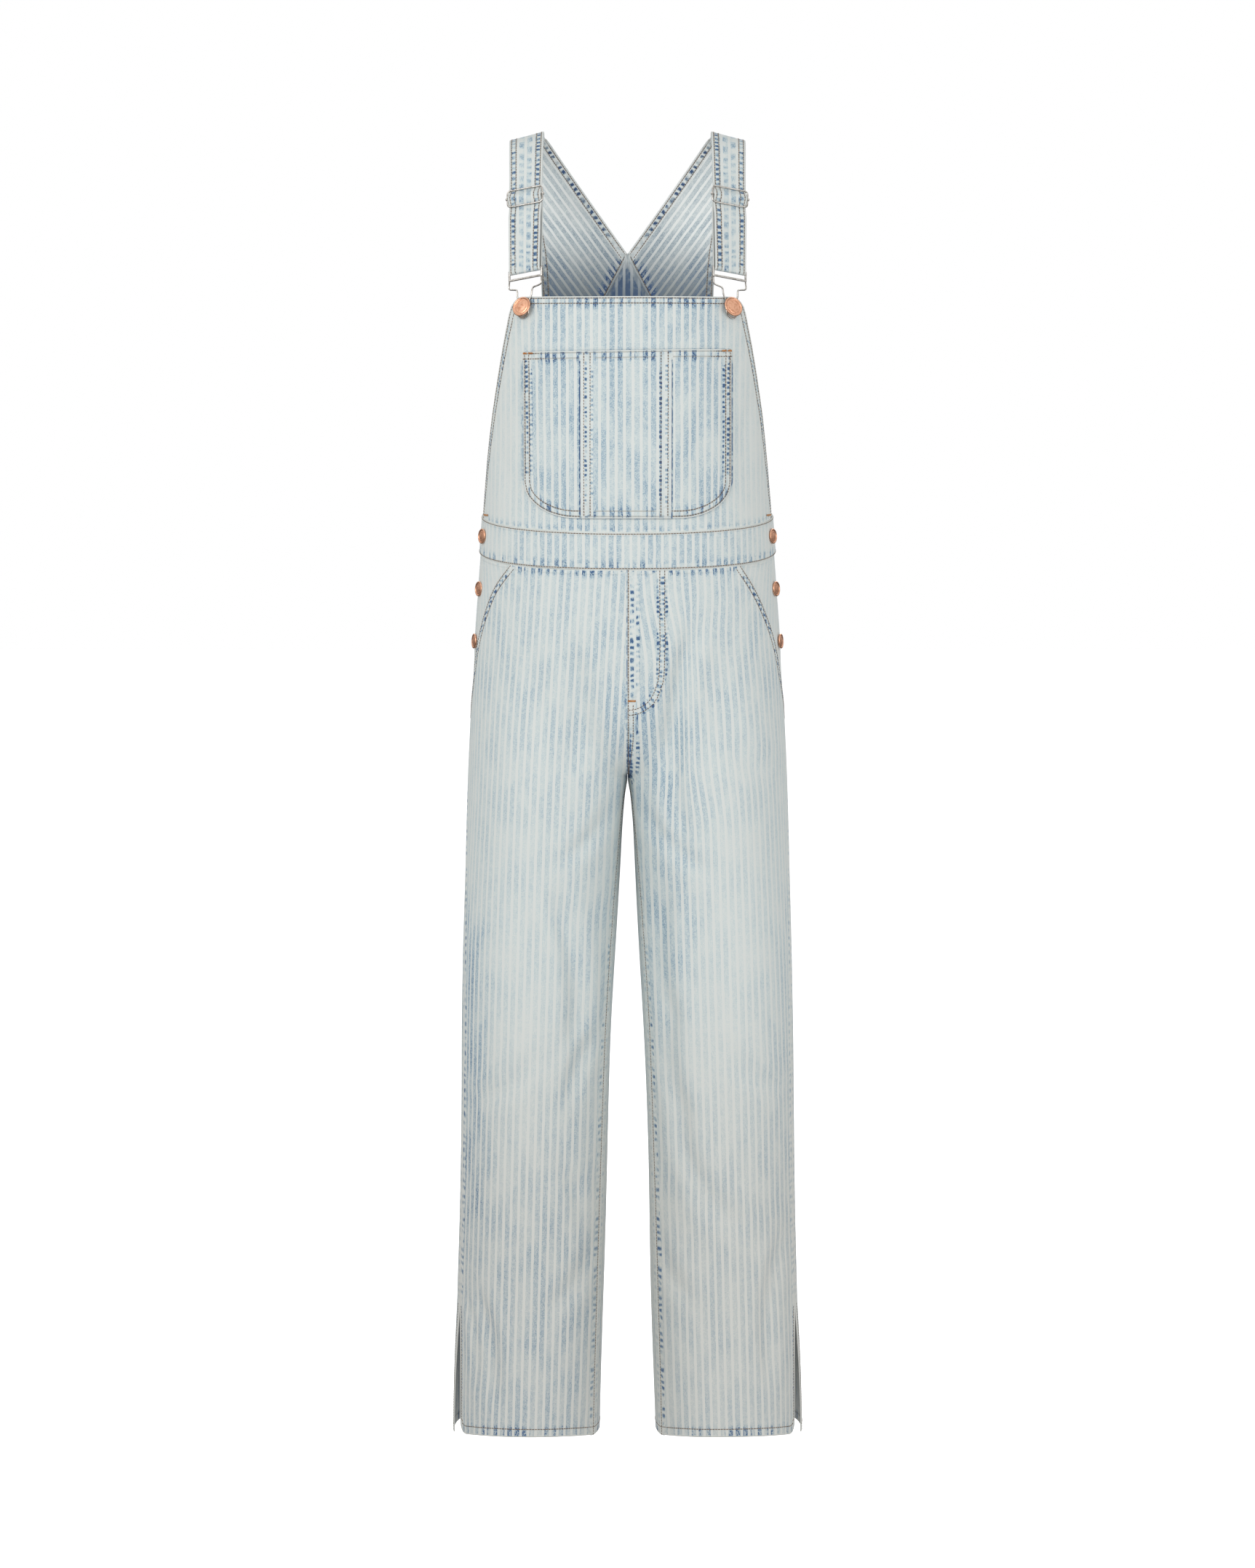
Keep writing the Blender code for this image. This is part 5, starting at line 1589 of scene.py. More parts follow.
@dataclass
class Trousers:
    """The four leg panels, the facings behind the pocket mouths and the side openings."""

    folds: dict[tuple[Part, Side], tuple[Fold, ...]] = field(default_factory=lambda: {
        (Part.FRONT, Side.RIGHT): (
            Fold(67.0, -548.0, 60.0, -770.0, 10.0, 5.6), Fold(38.8, -839.0, 46.0, -972.0, 11.0, 4.9),
            Fold(46.0, -965.0, 58.5, -1078.0, 11.0, 4.6), Fold(58.5, -1070.0, 74.8, -1151.0, 10.0, 4.2),
            Fold(80.0, -1150.0, 118.0, -1205.0, 13.0, 3.4), Fold(172.0, -1230.0, 160.0, -1380.0, 9.0, 3.8),
            Fold(20.0, -742.0, 78.0, -800.0, 9.0, 3.0), Fold(30.0, -1225.0, 66.0, -1290.0, 10.0, 2.8),
            Fold(120.0, -1010.0, 160.0, -1052.0, 11.0, 2.7), Fold(100.0, -640.0, 150.0, -700.0, 14.0, 2.5)),
        (Part.FRONT, Side.LEFT): (
            Fold(77.7, -836.0, 57.5, -995.0, 11.0, 6.1), Fold(63.0, -1057.0, 39.0, -998.0, 9.0, 4.9),
            Fold(73.0, -1145.0, 52.0, -1187.0, 9.0, 4.2), Fold(168.0, -1290.0, 152.0, -1400.0, 9.0, 4.9),
            Fold(182.0, -1293.0, 170.0, -1389.0, 5.0, 3.0), Fold(18.0, -736.0, 66.0, -790.0, 9.0, 3.0),
            Fold(62.0, -560.0, 58.0, -690.0, 12.0, 3.4), Fold(110.0, -1020.0, 158.0, -1066.0, 11.0, 2.7),
            Fold(38.0, -1236.0, 84.0, -1300.0, 11.0, 2.7)),
        (Part.BACK, Side.RIGHT): (
            Fold(92.0, -640.0, 24.0, -690.0, 15.0, 6.8), Fold(142.0, -985.0, 74.0, -1020.0, 13.0, 5.3),
            Fold(82.0, -1235.0, 140.0, -1310.0, 13.0, 4.2), Fold(120.0, -930.0, 60.0, -962.0, 10.0, 3.4)),
        (Part.BACK, Side.LEFT): (
            Fold(96.0, -650.0, 26.0, -696.0, 15.0, 6.8), Fold(138.0, -965.0, 66.0, -1008.0, 13.0, 5.3),
            Fold(88.0, -1255.0, 146.0, -1320.0, 13.0, 4.2), Fold(130.0, -1030.0, 66.0, -1060.0, 10.0, 3.4)),
    })
    facing_tuck: float = 14.0
    facing_lift: float = -1.45
    facing_rows: tuple[float, ...] = (1.6, 6.6)
    facing_points: tuple[int, int] = (80, 60)
    stand_reach: float = STAND_REACH
    stand_lift: float = -3.3
    mesh_pitch: float = 4.5

    def build(self, wardrobe: Wardrobe) -> None:
        """Make every piece below the waist.

        Args:
            wardrobe: the finishes.
        """
        for (part, side), folds in self.folds.items():
            LegPanel(side, part, folds).build(wardrobe)
        for side in Side:
            self.facing(side, wardrobe)
            self.stand(side, wardrobe)

    def facing(self, side: Side, wardrobe: Wardrobe) -> bpy.types.Object:
        """The piece behind a pocket mouth, carried on to the edge of the side opening.

        Args:
            side: which side.
            wardrobe: the finishes.

        Returns:
            The facing.
        """
        chart = TrouserChart(side=side.value, part=Part.FRONT)

        def place(w: Array, nominal: Array) -> tuple[Array, Array]:
            """Chart places of the facing.

            Args:
                w: share of the way from its tucked edge to the opening.
                nominal: height before the waist's rise.

            Returns:
                The place across and the height.
            """
            start = MOUTH.at(side.word, nominal) - self.facing_tuck / PANEL_WIDTH
            along = start + (1.0 + side_lap(nominal) - 0.0012 - start) * w
            near_waist = ease((nominal - FLY_END) / (BAND_FOOT - FLY_END))
            return along, nominal + (band_foot(along) - BAND_FOOT) * near_waist

        def lay(w: Array, nominal: Array) -> Array:
            """Points of the facing, which lies behind the panel."""
            along, z = place(w, nominal)
            return chart.at(along, z, self.facing_lift + lapped(nominal - BAND_FOOT, 0.4))

        down = (MOUTH_END - BAND_FOOT) * stations(BAND_FOOT - MOUTH_END, self.mesh_pitch)
        rows = np.concatenate([[BAND_FOOT + LAP], BAND_FOOT + down])
        cloth = Cloth(f"pocket_facing_{side.word}_cloth", lay, stations(100.0, self.mesh_pitch), rows,
                      (0.7 * side.value, -0.7, 0.0), nodes=(f"pocket_facing_{side.word}",),
                      face=wardrobe.plain, grain_x=lambda z: side.value * 160.0 + 0.0 * z)
        nominal = np.linspace(BAND_FOOT, OPENING_FOOT - 6.0, self.facing_points[0])
        cloth.sew(chart, *place(np.ones_like(nominal), nominal), rows=self.facing_rows, inward=-1.0,
                  lift=self.facing_lift, band=7.0, deep=0.5)
        w = np.linspace(0.0, 1.0, self.facing_points[1])
        cloth.sew(chart, *place(w, np.full_like(w, BAND_FOOT)), band=4.0, deep=0.4, along_stripes=False,
                  lift=self.facing_lift)
        return cloth.build(wardrobe)

    def stand(self, side: Side, wardrobe: Wardrobe) -> bpy.types.Object:
        """The strip behind the side opening that carries the buttons.

        Args:
            side: which side.
            wardrobe: the finishes.

        Returns:
            The strip.
        """
        chart = TrouserChart(side=side.value, part=Part.FRONT)
        middle = 1.0 + SIDE_LAP - 0.6 * self.stand_reach

        def lay(w: Array, z: Array) -> Array:
            """Points of the strip, which lies behind the facing."""
            return chart.at(middle + 2.0 * self.stand_reach * (w - 0.5), z, self.stand_lift)

        top = BAND_TOP + BAND_TOP_RISE - 2.0
        rows = top + (OPENING_FOOT - top) * stations(top - OPENING_FOOT, self.mesh_pitch)
        cloth = Cloth(f"button_stand_{side.word}_cloth", lay, stations(55.0, self.mesh_pitch), rows,
                      (side.value, 0.0, 0.0), nodes=(f"button_stand_{side.word}",), face=wardrobe.plain,
                      grain_x=lambda z: 0.0 * z)
        return cloth.build(wardrobe)


@dataclass
class Waistband:
    """One half of the waistband, between its two seams."""

    part: Part
    proud: float = 0.8
    row: float = 1.1

    def edges(self, across: Array) -> tuple[Array, Array]:
        """Heights of the two seams.

        Args:
            across: places across the band.

        Returns:
            The heights of the upper and of the lower seam.
        """
        if self.part is Part.FRONT:
            return band_top(across), band_foot(across)
        from_side = np.clip(1.0 - np.abs(across - 1.0), 0.0, 1.0)
        return back_band_top(from_side), back_band_foot(from_side)

    def build(self, wardrobe: Wardrobe) -> bpy.types.Object:
        """Cut, sew and lay the band.

        Args:
            wardrobe: the finishes.

        Returns:
            The band.
        """
        chart = TrouserChart(part=self.part, sway=0.25)
        front = self.part is Part.FRONT
        start, end = (-1.0 - SIDE_LAP, 1.0 + SIDE_LAP) if front else (SIDE_LAP, 2.0 - SIDE_LAP)
        tuck = 0.0 if front else LAP / PANEL_WIDTH

        def lay(across: Array, t: Array) -> Array:
            """Points of the band, slightly crowned between its seams.

            Args:
                across: places across the band.
                t: from 0 at its upper seam to 1 at its lower one.

            Returns:
                The points.
            """
            top, foot = self.edges(across)
            beyond = np.maximum(start - across, across - end) * PANEL_WIDTH
            crown = 0.35 * np.sin(math.pi * np.clip(t, 0.0, 1.0))
            return chart.at(across, top + (foot - top) * t,
                            self.proud + crown + (0.0 if front else lapped(beyond, 2.6)))

        columns = start - tuck + (end - start + 2.0 * tuck) * stations(530.0, 4.4)
        cloth = Cloth(f"{self.part.word}_waistband_cloth", lay, columns, stations(39.0, 3.4),
                      (0.0, self.part.value, 0.0), nodes=(f"{self.part.word}_waistband",), thickness=BAND,
                      fade=self.wear, phase=0.42)
        q = np.linspace(start, end, 260)
        top, foot = self.edges(q)
        for z, inward, band, deep in ((top, -1.0, 3.0, 0.2), (foot, 1.0, 6.5, 0.6)):
            cloth.sew(chart, q, z, rows=(self.row,), inward=inward, lift=self.proud, band=band, deep=deep,
                      along_stripes=False)
        return cloth.build(wardrobe)

    @staticmethod
    def wear(points: Array) -> Array:
        """Blue left by the wash, less of it towards the sides, whose paler cloth is partly painted light where
        the band turns away from the lamps.
        """
        return 1.0 - 0.65 * ease((np.abs(points[:, 0]) - 100.0) / 60.0)


@dataclass
class Bib:
    """The bib with its divided pocket."""

    corner: float = 17.0
    pocket_top: float = -239.5
    pocket_tilt: float = 1.5
    pocket_foot: float = -418.7
    pocket_half: float = 111.5
    pocket_corner: tuple[float, float] = (56.0, 38.0)
    pocket_lift: float = 1.5
    pocket_height: float = 179.0
    division: tuple[float, float] = (-50.2, 47.1)
    division_step: float = 0.9
    folds: tuple[Fold, ...] = (
        Fold(-96.0, -205.0, -60.0, -222.0, 9.0, 1.0), Fold(96.0, -205.0, 62.0, -226.0, 9.0, 1.0),
        Fold(-132.0, -300.0, -128.0, -390.0, 8.0, 0.9), Fold(134.0, -290.0, 130.0, -380.0, 8.0, 0.9),
        Fold(-30.0, -300.0, 34.0, -330.0, 16.0, 0.7), Fold(-80.0, -330.0, -76.0, -400.0, 9.0, 0.8),
        Fold(80.0, -300.0, 84.0, -380.0, 10.0, 0.8))

    def place(self, share: Array, t: Array) -> tuple[Array, Array]:
        """The x and the height of a point of the bib at shares across and down.

        Args:
            share: from -1 at the left edge to 1 at the right.
            t: from 0 at the top to 1 at the foot.

        Returns:
            The x and the height.
        """
        half = BIB_SIDE.at("x", BIB_TOP)
        over = np.clip((np.abs(share) * half - (half - self.corner)) / self.corner, 0.0, 1.0)
        top = BIB_TOP - self.corner * (1.0 - np.sqrt(1.0 - over**2))
        angle = trunk_angle(BIB_SIDE.at("x", BAND_TOP), BAND_TOP) / (0.5 * math.pi)
        z = top + (band_top(share * angle) - top) * t
        edge = trunk_angle(BIB_SIDE.at("x", z), z)
        return trunk_point(edge * share, z)[..., 0], z

    def build(self, wardrobe: Wardrobe) -> None:
        """Cut, sew and lay the bib and its pocket.

        Args:
            wardrobe: the finishes.
        """
        chart = TrunkChart(part=Part.FRONT, folds=self.folds, sway=0.35)

        def lay(share: Array, t: Array) -> Array:
            """Points of the bib, tucked under the waistband at its foot."""
            x, z = self.place(share, t)
            return chart.at(x, z, lapped((t - 1.0) * PANEL_WIDTH))

        across = 2.0 * stations(300.0, 4.2) - 1.0
        down = np.concatenate([stations(252.0, 4.2), 1.0 + LAP / PANEL_WIDTH * np.array([0.2, 0.6, 1.0])])
        cloth = Cloth("bib_cloth", lay, across, down, (0.0, -1.0, 0.0), nodes=("bib",), pitch=8.9,
                      fade=self.wear, phase=0.2)
        q = np.linspace(0.0, 1.0, 120)
        side_left = self.place(-np.ones(120), 1.0 - q)
        side_right = self.place(np.ones(120), q)
        top = self.place(2.0 * q - 1.0, np.zeros(120))
        rows = (2.0, 7.6)
        cloth.sew(chart, *side_left, rows=rows, marks=(2.6, 4.6), inward=-1.0, deep=0.85)
        cloth.sew(chart, *side_right, rows=rows, marks=(2.6, 4.6), inward=-1.0, deep=0.85)
        cloth.sew(chart, *top, rows=rows, inward=-1.0, deep=0.8, along_stripes=False)
        cloth.sew(chart, *self.place(2.0 * q - 1.0, np.ones(120)), band=4.0, deep=0.4, along_stripes=False)
        half, ones = self.pocket_half, np.ones(120)
        outline = [self.pocket_place(*ends) for ends in (
            (half * (2.0 * q - 1.0), 0.0 * q), (half * ones, q), (half * (1.0 - 2.0 * q), ones),
            (-half * ones, 1.0 - q))]
        rim = Seam(chart.at(*(np.concatenate(line) for line in zip(*outline))))

        def halo(points: Array) -> Array:
            """Distance to the dark line round the pocket, which is darkest at its sides.

            Args:
                points: points of the bib.

            Returns:
                The distances.
            """
            x, top = self.pocket_place(points[:, 0], np.zeros(len(points)))
            under = (np.abs(x) < half) & (points[:, 2] < top) & (
                points[:, 2] > self.pocket_place(np.clip(x, -half, half), np.ones(len(points)))[1])
            side = ease((self.pocket_top - 4.0 - points[:, 2]) / 12.0) * ease(
                (points[:, 2] - self.pocket_foot - 20.0) / 24.0)
            return np.where(under, -0.5, 0.75 - 0.4 * side) * rim.measure(points)[0] + 1.7 - 0.8 * side

        cloth.halo = halo
        for way in (-1.0, 1.0):
            x, z = self.place(np.array([way]), np.array([1.0]))
            cloth.tack(chart, float(x[0]) - way * 4.4, float(z[0]) + 3.4, (2.6, 0.0), 0.3, count=5)
        cloth.build(wardrobe)
        self.pocket(wardrobe)

    @staticmethod
    def wear(points: Array) -> Array:
        """Blue left by the wash, most in the middle and little at the sides, and partly painted light: the
        sides are kept pale where the bib turns away from the lamps.
        """
        return 1.1 - 0.75 * ease((np.abs(points[:, 0]) - 85.0) / 50.0)

    def pocket_place(self, x: Array, t: Array) -> tuple[Array, Array]:
        """The x and the height of a point of the pocket.

        Args:
            x: the place across.
            t: from 0 at the top to 1 at the foot.

        Returns:
            The x and the height.
        """
        top = self.pocket_top + self.pocket_tilt * x / self.pocket_half
        wide, tall = self.pocket_corner
        over = np.clip((np.abs(x) - (self.pocket_half - wide)) / wide, 0.0, 1.0)
        foot = self.pocket_foot + tall * (1.0 - np.sqrt(1.0 - over**2))
        return x, top + (foot - top) * t

    def beside_folds(self, points: Array) -> Array:
        """Distance to the outer side of the two folds; far for anything else.

        Args:
            points: points of the pocket.

        Returns:
            The distances.
        """
        left, right = self.division
        off = np.where(points[:, 0] < 0.0, left - points[:, 0], points[:, 0] - right)
        return np.where((off < -0.3) | (points[:, 2] > self.pocket_top - 9.0), FAR, off * 1.1)

    def pocket(self, wardrobe: Wardrobe) -> bpy.types.Object:
        """The pocket, whose middle part stands proud between two stitched folds.

        Args:
            wardrobe: the finishes.

        Returns:
            The pocket.
        """
        chart = TrunkChart(part=Part.FRONT, folds=self.folds, sway=0.3)
        left, right = self.division

        def lay(x: Array, t: Array) -> Array:
            """Points of the pocket, puffed a little and proud between its folds.

            Args:
                x: the places across.
                t: from 0 at the top to 1 at the foot.

            Returns:
                The points.
            """
            x, z = self.pocket_place(x, t)
            middle = ease(x - left + 0.5) * ease(right + 0.5 - x) * ease((t * self.pocket_height - 8.0) / 6.0)
            rim = np.minimum(self.pocket_half - np.abs(x), (1.0 - t) * self.pocket_height)
            puff = 0.9 * ease(rim / 30.0) + 0.5 * ease(1.0 - t * 9.0) * ease(rim / 20.0)
            return chart.at(x, z, self.pocket_lift + self.division_step * middle + puff)

        marks = [m + self.pocket_half + k for m in self.division for k in (-1.2, -0.5, 0.0, 0.5, 1.2)]
        columns = 2.0 * self.pocket_half * (stations(2.0 * self.pocket_half, 4.2, marks) - 0.5)
        cloth = Cloth("bib_pocket_cloth", lay, columns, stations(self.pocket_height, 4.0), (0.0, -1.0, 0.0),
                      nodes=("bib_pocket",), pitch=8.9, fade=lambda p: np.full(len(p), 1.14), phase=0.2)
        q = np.linspace(0.0, 1.0, 120)
        half = self.pocket_half
        rows, lift = (2.2, 7.9), self.pocket_lift
        cloth.sew(chart, *self.pocket_place(half * (2.0 * q - 1.0), np.zeros(120)), rows=rows, inward=-1.0,
                  lift=lift + 0.8, deep=0.8, along_stripes=False)
        for end in (-half, half):
            cloth.sew(chart, *self.pocket_place(np.full(120, end), 1.0 - q if end < 0.0 else q), rows=rows,
                      inward=-1.0, lift=lift + 0.2, deep=1.6, pitch=5.4, reach=4.2)
        x = half * (1.0 - 2.0 * q)
        cloth.sew(chart, *self.pocket_place(x, np.ones(120)), rows=rows, inward=-1.0, lift=lift + 0.2,
                  deep=0.8, along_stripes=False)
        cloth.halo = self.beside_folds
        for edge, way in ((left, 1.0), (right, -1.0)):
            for shift in (3.9, 10.6) if way > 0.0 else (4.3, 11.7):
                inner = self.pocket_place(np.full(120, edge + way * shift), 0.012 + 0.975 * q)
                cloth.thread(chart, *inner, lift + self.division_step + 0.75)
            line = self.pocket_place(np.full(120, edge), 0.08 + 0.88 * q)
            cloth.sew(chart, *line, marks=(4.2, 10.8), band=11.5, deep=1.6, pitch=5.2,
                      towards=(way, 0.0, 0.0), lift=lift + self.division_step)
        for way in (-1.0, 1.0):
            for inset_x, reach in ((2.6, 1.9), (8.6, 2.2)):
                x, z = self.pocket_place(np.array([way * (half - inset_x)]), np.array([0.0]))
                cloth.tack(chart, float(x[0]), float(z[0]) - 1.8, (reach, 0.0), lift + 0.7, count=5)
        return cloth.build(wardrobe)


@dataclass
class VBack:
    """The back above the waistband: its middle, and a slanting piece to each shoulder."""

    yoke_inner: tuple[float, float] = (93.0, -0.6)
    yoke_outer: tuple[float, float] = (128.0, -20.0)
    apex_half: float = 3.2
    folds: tuple[Fold, ...] = (Fold(-60.0, -360.0, 60.0, -372.0, 16.0, 1.4),
                               Fold(-70.0, -250.0, -20.0, -300.0, 14.0, 1.2),
                               Fold(74.0, -244.0, 24.0, -296.0, 14.0, 1.2))

    @staticmethod
    def depth(points: Array) -> Array:
        """Painted shade, deeper towards the inside of the back and lighter along the V's hem.

        Args:
            points: points of the back.

        Returns:
            How much painted shade they get, from 0 to 1.
        """
        x, z = np.abs(points[:, 0]), points[:, 2]
        from_edge = (x * 123.5 - (z - BACK_APEX) * 92.8) / 154.5
        hem = np.where(z > BACK_APEX - 8.0, 1.0 - ease((from_edge - 6.0) / 6.0), 0.0)
        return ease((-95.0 - z) / 95.0) * ease((z + 420.0) / 120.0) * (1.0 - 0.5 * hem)

    def build(self, wardrobe: Wardrobe) -> None:
        """Cut, sew and lay the three pieces.

        Args:
            wardrobe: the finishes.
        """
        self.middle(wardrobe)
        for side in Side:
            self.yoke(side, wardrobe)

    def middle(self, wardrobe: Wardrobe) -> bpy.types.Object:
        """The middle of the back, which ends in the point of the V.

        Args:
            wardrobe: the finishes.

        Returns:
            The piece.
        """
        chart = TrunkChart(part=Part.BACK, folds=self.folds)
        slope = BACK_SIDE.at("x", YOKE_FOOT) / (BACK_APEX - YOKE_FOOT)
        corner = BAND_TOP + BAND_TOP_RISE
        corner_share = trunk_angle(BACK_SIDE.at("x", corner), corner) / (0.5 * math.pi)
        top = BACK_APEX + 0.5

        def place(share: Array, t: Array) -> tuple[Array, Array]:
            """Places of the back's middle.

            Args:
                share: from -1 at one edge to 1 at the other.
                t: from 0 at the point of the V to 1 at the waistband.

            Returns:
                The x and the height.
            """
            z_side = top + (corner - top) * t
            half = np.where(z_side > YOKE_FOOT, (BACK_APEX - z_side) * slope, BACK_SIDE.at("x", z_side))
            half = np.maximum(half, self.apex_half)
            rise = back_band_top(1.0 - corner_share * np.abs(share)) - corner
            x = trunk_point(share * trunk_angle(half, z_side), z_side)[..., 0]
            return x, z_side + rise * ease((t - 0.7) / 0.3)

        def lay(share: Array, t: Array) -> Array:
            """Points of the back's middle, tucked under the slanting pieces and the waistband.

            Args:
                share: from -1 at one edge to 1 at the other.
                t: from 0 at the point of the V to 1 at the waistband.

            Returns:
                The points.
            """
            x, z = place(share, t)
            z_side = top + (corner - top) * t
            under = np.where(z_side > YOKE_FOOT, lapped((np.abs(share) - 1.0) * 90.0 + 1.2), 0.0)
            return chart.at(x, z, np.minimum(under, lapped((t - 1.0) * PANEL_WIDTH)))

        share = np.concatenate([[-1.05, -1.02], 2.0 * stations(220.0, 4.4) - 1.0, [1.02, 1.05]])
        down = np.concatenate([stations(292.0, 4.4), [1.004, 1.011]])
        cloth = Cloth("back_bib_cloth", lay, share, down, (0.0, 1.0, 0.0), nodes=("back_bib",), pitch=8.6,
                      reverse=wardrobe.deep, ecru=self.depth, both_sides=True,
                      fade=lambda p: 1.0 + 0.6 * ease((p[:, 2] + 240.0) / 60.0))
        q = np.linspace(0.0, 1.0, 120)
        for end in (-1.0, 1.0):
            cloth.sew(chart, *place(held(end), ALONG), band=7.0, deep=0.8)
            low = (YOKE_FOOT - top) / (corner - top)
            along = place(np.full(120, end), low + (1.0 - low) * q)
            cloth.sew(chart, *along, rows=(2.2, 7.8), inward=end, deep=0.8)
        cloth.sew(chart, *place(2.0 * q - 1.0, np.ones(120)), band=4.0, deep=0.5, along_stripes=False)
        return cloth.build(wardrobe)

    def yoke(self, side: Side, wardrobe: Wardrobe) -> bpy.types.Object:
        """The slanting piece, whose stripes run along the V's edge.

        Args:
            side: which side.
            wardrobe: the finishes.

        Returns:
            The piece.
        """
        chart = TrunkChart(side=side.value, part=Part.BACK, sway=0.3)

        def place(s: Array, t: Array) -> tuple[Array, Array]:
            """Places of the slanting piece.

            Args:
                s: from 0 at the V's edge to 1 at the armhole.
                t: from 0 at the shoulder to 1 at the lower seam.

            Returns:
                The x and the height.
            """
            inner_x = self.yoke_inner[0] + (0.2 - self.yoke_inner[0]) * t
            inner_z = self.yoke_inner[1] + (BACK_APEX - self.yoke_inner[1]) * t
            outer_z = self.yoke_outer[1] + (YOKE_FOOT + 1.0 - self.yoke_outer[1]) * t
            outer_x = BACK_SIDE.at("x", outer_z)
            return inner_x + (outer_x - inner_x) * s, inner_z + (outer_z - inner_z) * s

        def weave(grid: Array, u: Array, v: Array) -> tuple[Array, Array]:
            """Place in the stripes, which run along the V's edge.

            Args:
                grid: the piece's points in rows and columns.
                u: the usual place across the stripes, which isn't used.
                v: the usual place along them, which isn't used.

            Returns:
                The place across and along the stripes, in millimetres.
            """
            start, end = grid[0, 0], grid[-1, 0]
            way = (end - start) / np.linalg.norm(end - start)
            aside = np.cross(way, np.array([0.0, 1.0, 0.0]))
            return np.abs((grid - start) @ (aside / np.linalg.norm(aside))), (grid - start) @ way

        def lay(s: Array, t: Array) -> Array:
            """Points of the slanting piece, which sinks under the strap at the shoulder."""
            x, z = place(s, t)
            return chart.at(x, z, -1.5 * ease((z + 24.0 - 0.1 * x) / 14.0) - 2.2 * ease((z + 9.0) / 7.0))

        cloth = Cloth(f"back_yoke_{side.word}_cloth", lay,
                      stations(150.0, 4.0), stations(240.0, 4.0), (0.0, 1.0, 0.0), pitch=7.6,
                      nodes=(f"back_yoke_{side.word}",), weave=weave, reverse=wardrobe.lining, phase=0.74,
                      ecru=self.depth, both_sides=True,
                      fade=lambda p: 0.85 + 0.6 * ease((-60.0 - p[:, 2]) / 130.0))
        q = np.linspace(0.0, 1.0, 120)
        zero, one = np.zeros(120), np.ones(120)
        cloth.sew(chart, *place(zero, q), rows=(2.2, 8.2), inward=-1.0, marks=(3.2,), deep=1.25,
                  reach=4.4, pitch=8.4)
        cloth.sew(chart, *place(one, q), rows=(2.2, 8.2), marks=(3.2,), deep=1.2, reach=4.4, pitch=8.4)
        cloth.sew(chart, *place(q, one), rows=(1.4,), inward=-1.0, deep=0.95, band=8.0, along_stripes=False)
        cloth.both_sides = False
        cloth.thread(chart, *inset(chart, *place(q, one), -7.0))
        cloth.sew(chart, *place(q, zero), rows=(2.0,), band=4.0, deep=0.5)
        return cloth.build(wardrobe)


def add_piece(name: str, bm: bmesh.types.BMesh, finish: bpy.types.Material,
              replaces: Sequence[str] = ()) -> bpy.types.Object:
    """Turn a mesh in millimetres into a smooth piece of the garment.

    Args:
        name: the piece's name.
        bm: its mesh.
        finish: its material.
        replaces: the nodes that it stands for.

    Returns:
        The piece.
    """
    bmesh.ops.scale(bm, vec=(MM, MM, MM), verts=bm.verts)
    mesh = bpy.data.meshes.new(name)
    bm.to_mesh(mesh)
    bm.free()
    mesh.materials.append(finish)
    mesh.shade_smooth()
    made = bpy.data.objects.new(name, mesh)
    bpy.context.scene.collection.objects.link(made)
    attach(made, BODY)
    if replaces:
        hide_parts(*replaces)
    log.info("%s: %d points", name, len(mesh.vertices))
    return made


def joined(parts: Sequence[bmesh.types.BMesh]) -> bmesh.types.BMesh:
    """Put several meshes into one.

    Args:
        parts: the meshes, which are used up.

    Returns:
        The whole.
    """
    whole = bmesh.new()
    for part in parts:
        held = bpy.data.meshes.new("part")
        part.to_mesh(held)
        part.free()
        whole.from_mesh(held)
        bpy.data.meshes.remove(held)
    return whole


def rounded_path(corners: Sequence[Sequence[float]], radius: float, steps: int = 6) -> list[Vector]:
    """Points of a path whose inner corners are cut round by a radius.

    Args:
        corners: the path's corners.
        radius: the radius.
        steps: how many steps a rounded corner gets.

    Returns:
        The points.
    """
    points = [Vector(corners[0])]
    for before, corner, after in zip(corners, corners[1:], corners[2:]):
        before, corner, after = Vector(before), Vector(corner), Vector(after)
        cut = min(radius, 0.45 * (before - corner).length, 0.45 * (after - corner).length)
        start = corner + (before - corner).normalized() * cut
        end = corner + (after - corner).normalized() * cut
        for i in range(steps + 1):
            t = i / steps
            points.append(start * (1 - t) ** 2 + corner * (2 * t * (1 - t)) + end * t**2)
    return points + [Vector(corners[-1])]


def wire(points: Sequence[Vector], width: float, flat: Vector, closed: bool = False,
         sides: int = 14) -> bmesh.types.BMesh:
    """A round wire along points that lie near one flat plane.

    Args:
        points: its middle line.
        width: its thickness.
        flat: the plane's normal.
        closed: whether it runs round into itself.
        sides: how many sides its cross section has.

    Returns:
        The wire's mesh.
    """
    bm = bmesh.new()
    rings, count = [], len(points)
    for i, point in enumerate(points):
        before = points[i - 1] if closed or i > 0 else point
        after = points[(i + 1) % count] if closed or i < count - 1 else point
        along = (after - before).normalized()
        side = along.cross(flat).normalized()
        turn = Matrix((side, along.cross(side), along)).transposed().to_4x4()
        ring = bmesh.ops.create_circle(bm, segments=sides, radius=0.5 * width,
                                       matrix=Matrix.Translation(point) @ turn)
        rings.append(list({edge for vert in ring["verts"] for edge in vert.link_edges}))
    pairs = list(zip(rings, rings[1:] + rings[:1])) if closed else list(zip(rings, rings[1:]))
    for first, second in pairs:
        bmesh.ops.bridge_loops(bm, edges=first + second)
    if not closed:
        bmesh.ops.holes_fill(bm, edges=rings[0] + rings[-1], sides=0)
    bmesh.ops.recalc_face_normals(bm, faces=bm.faces)
    return bm


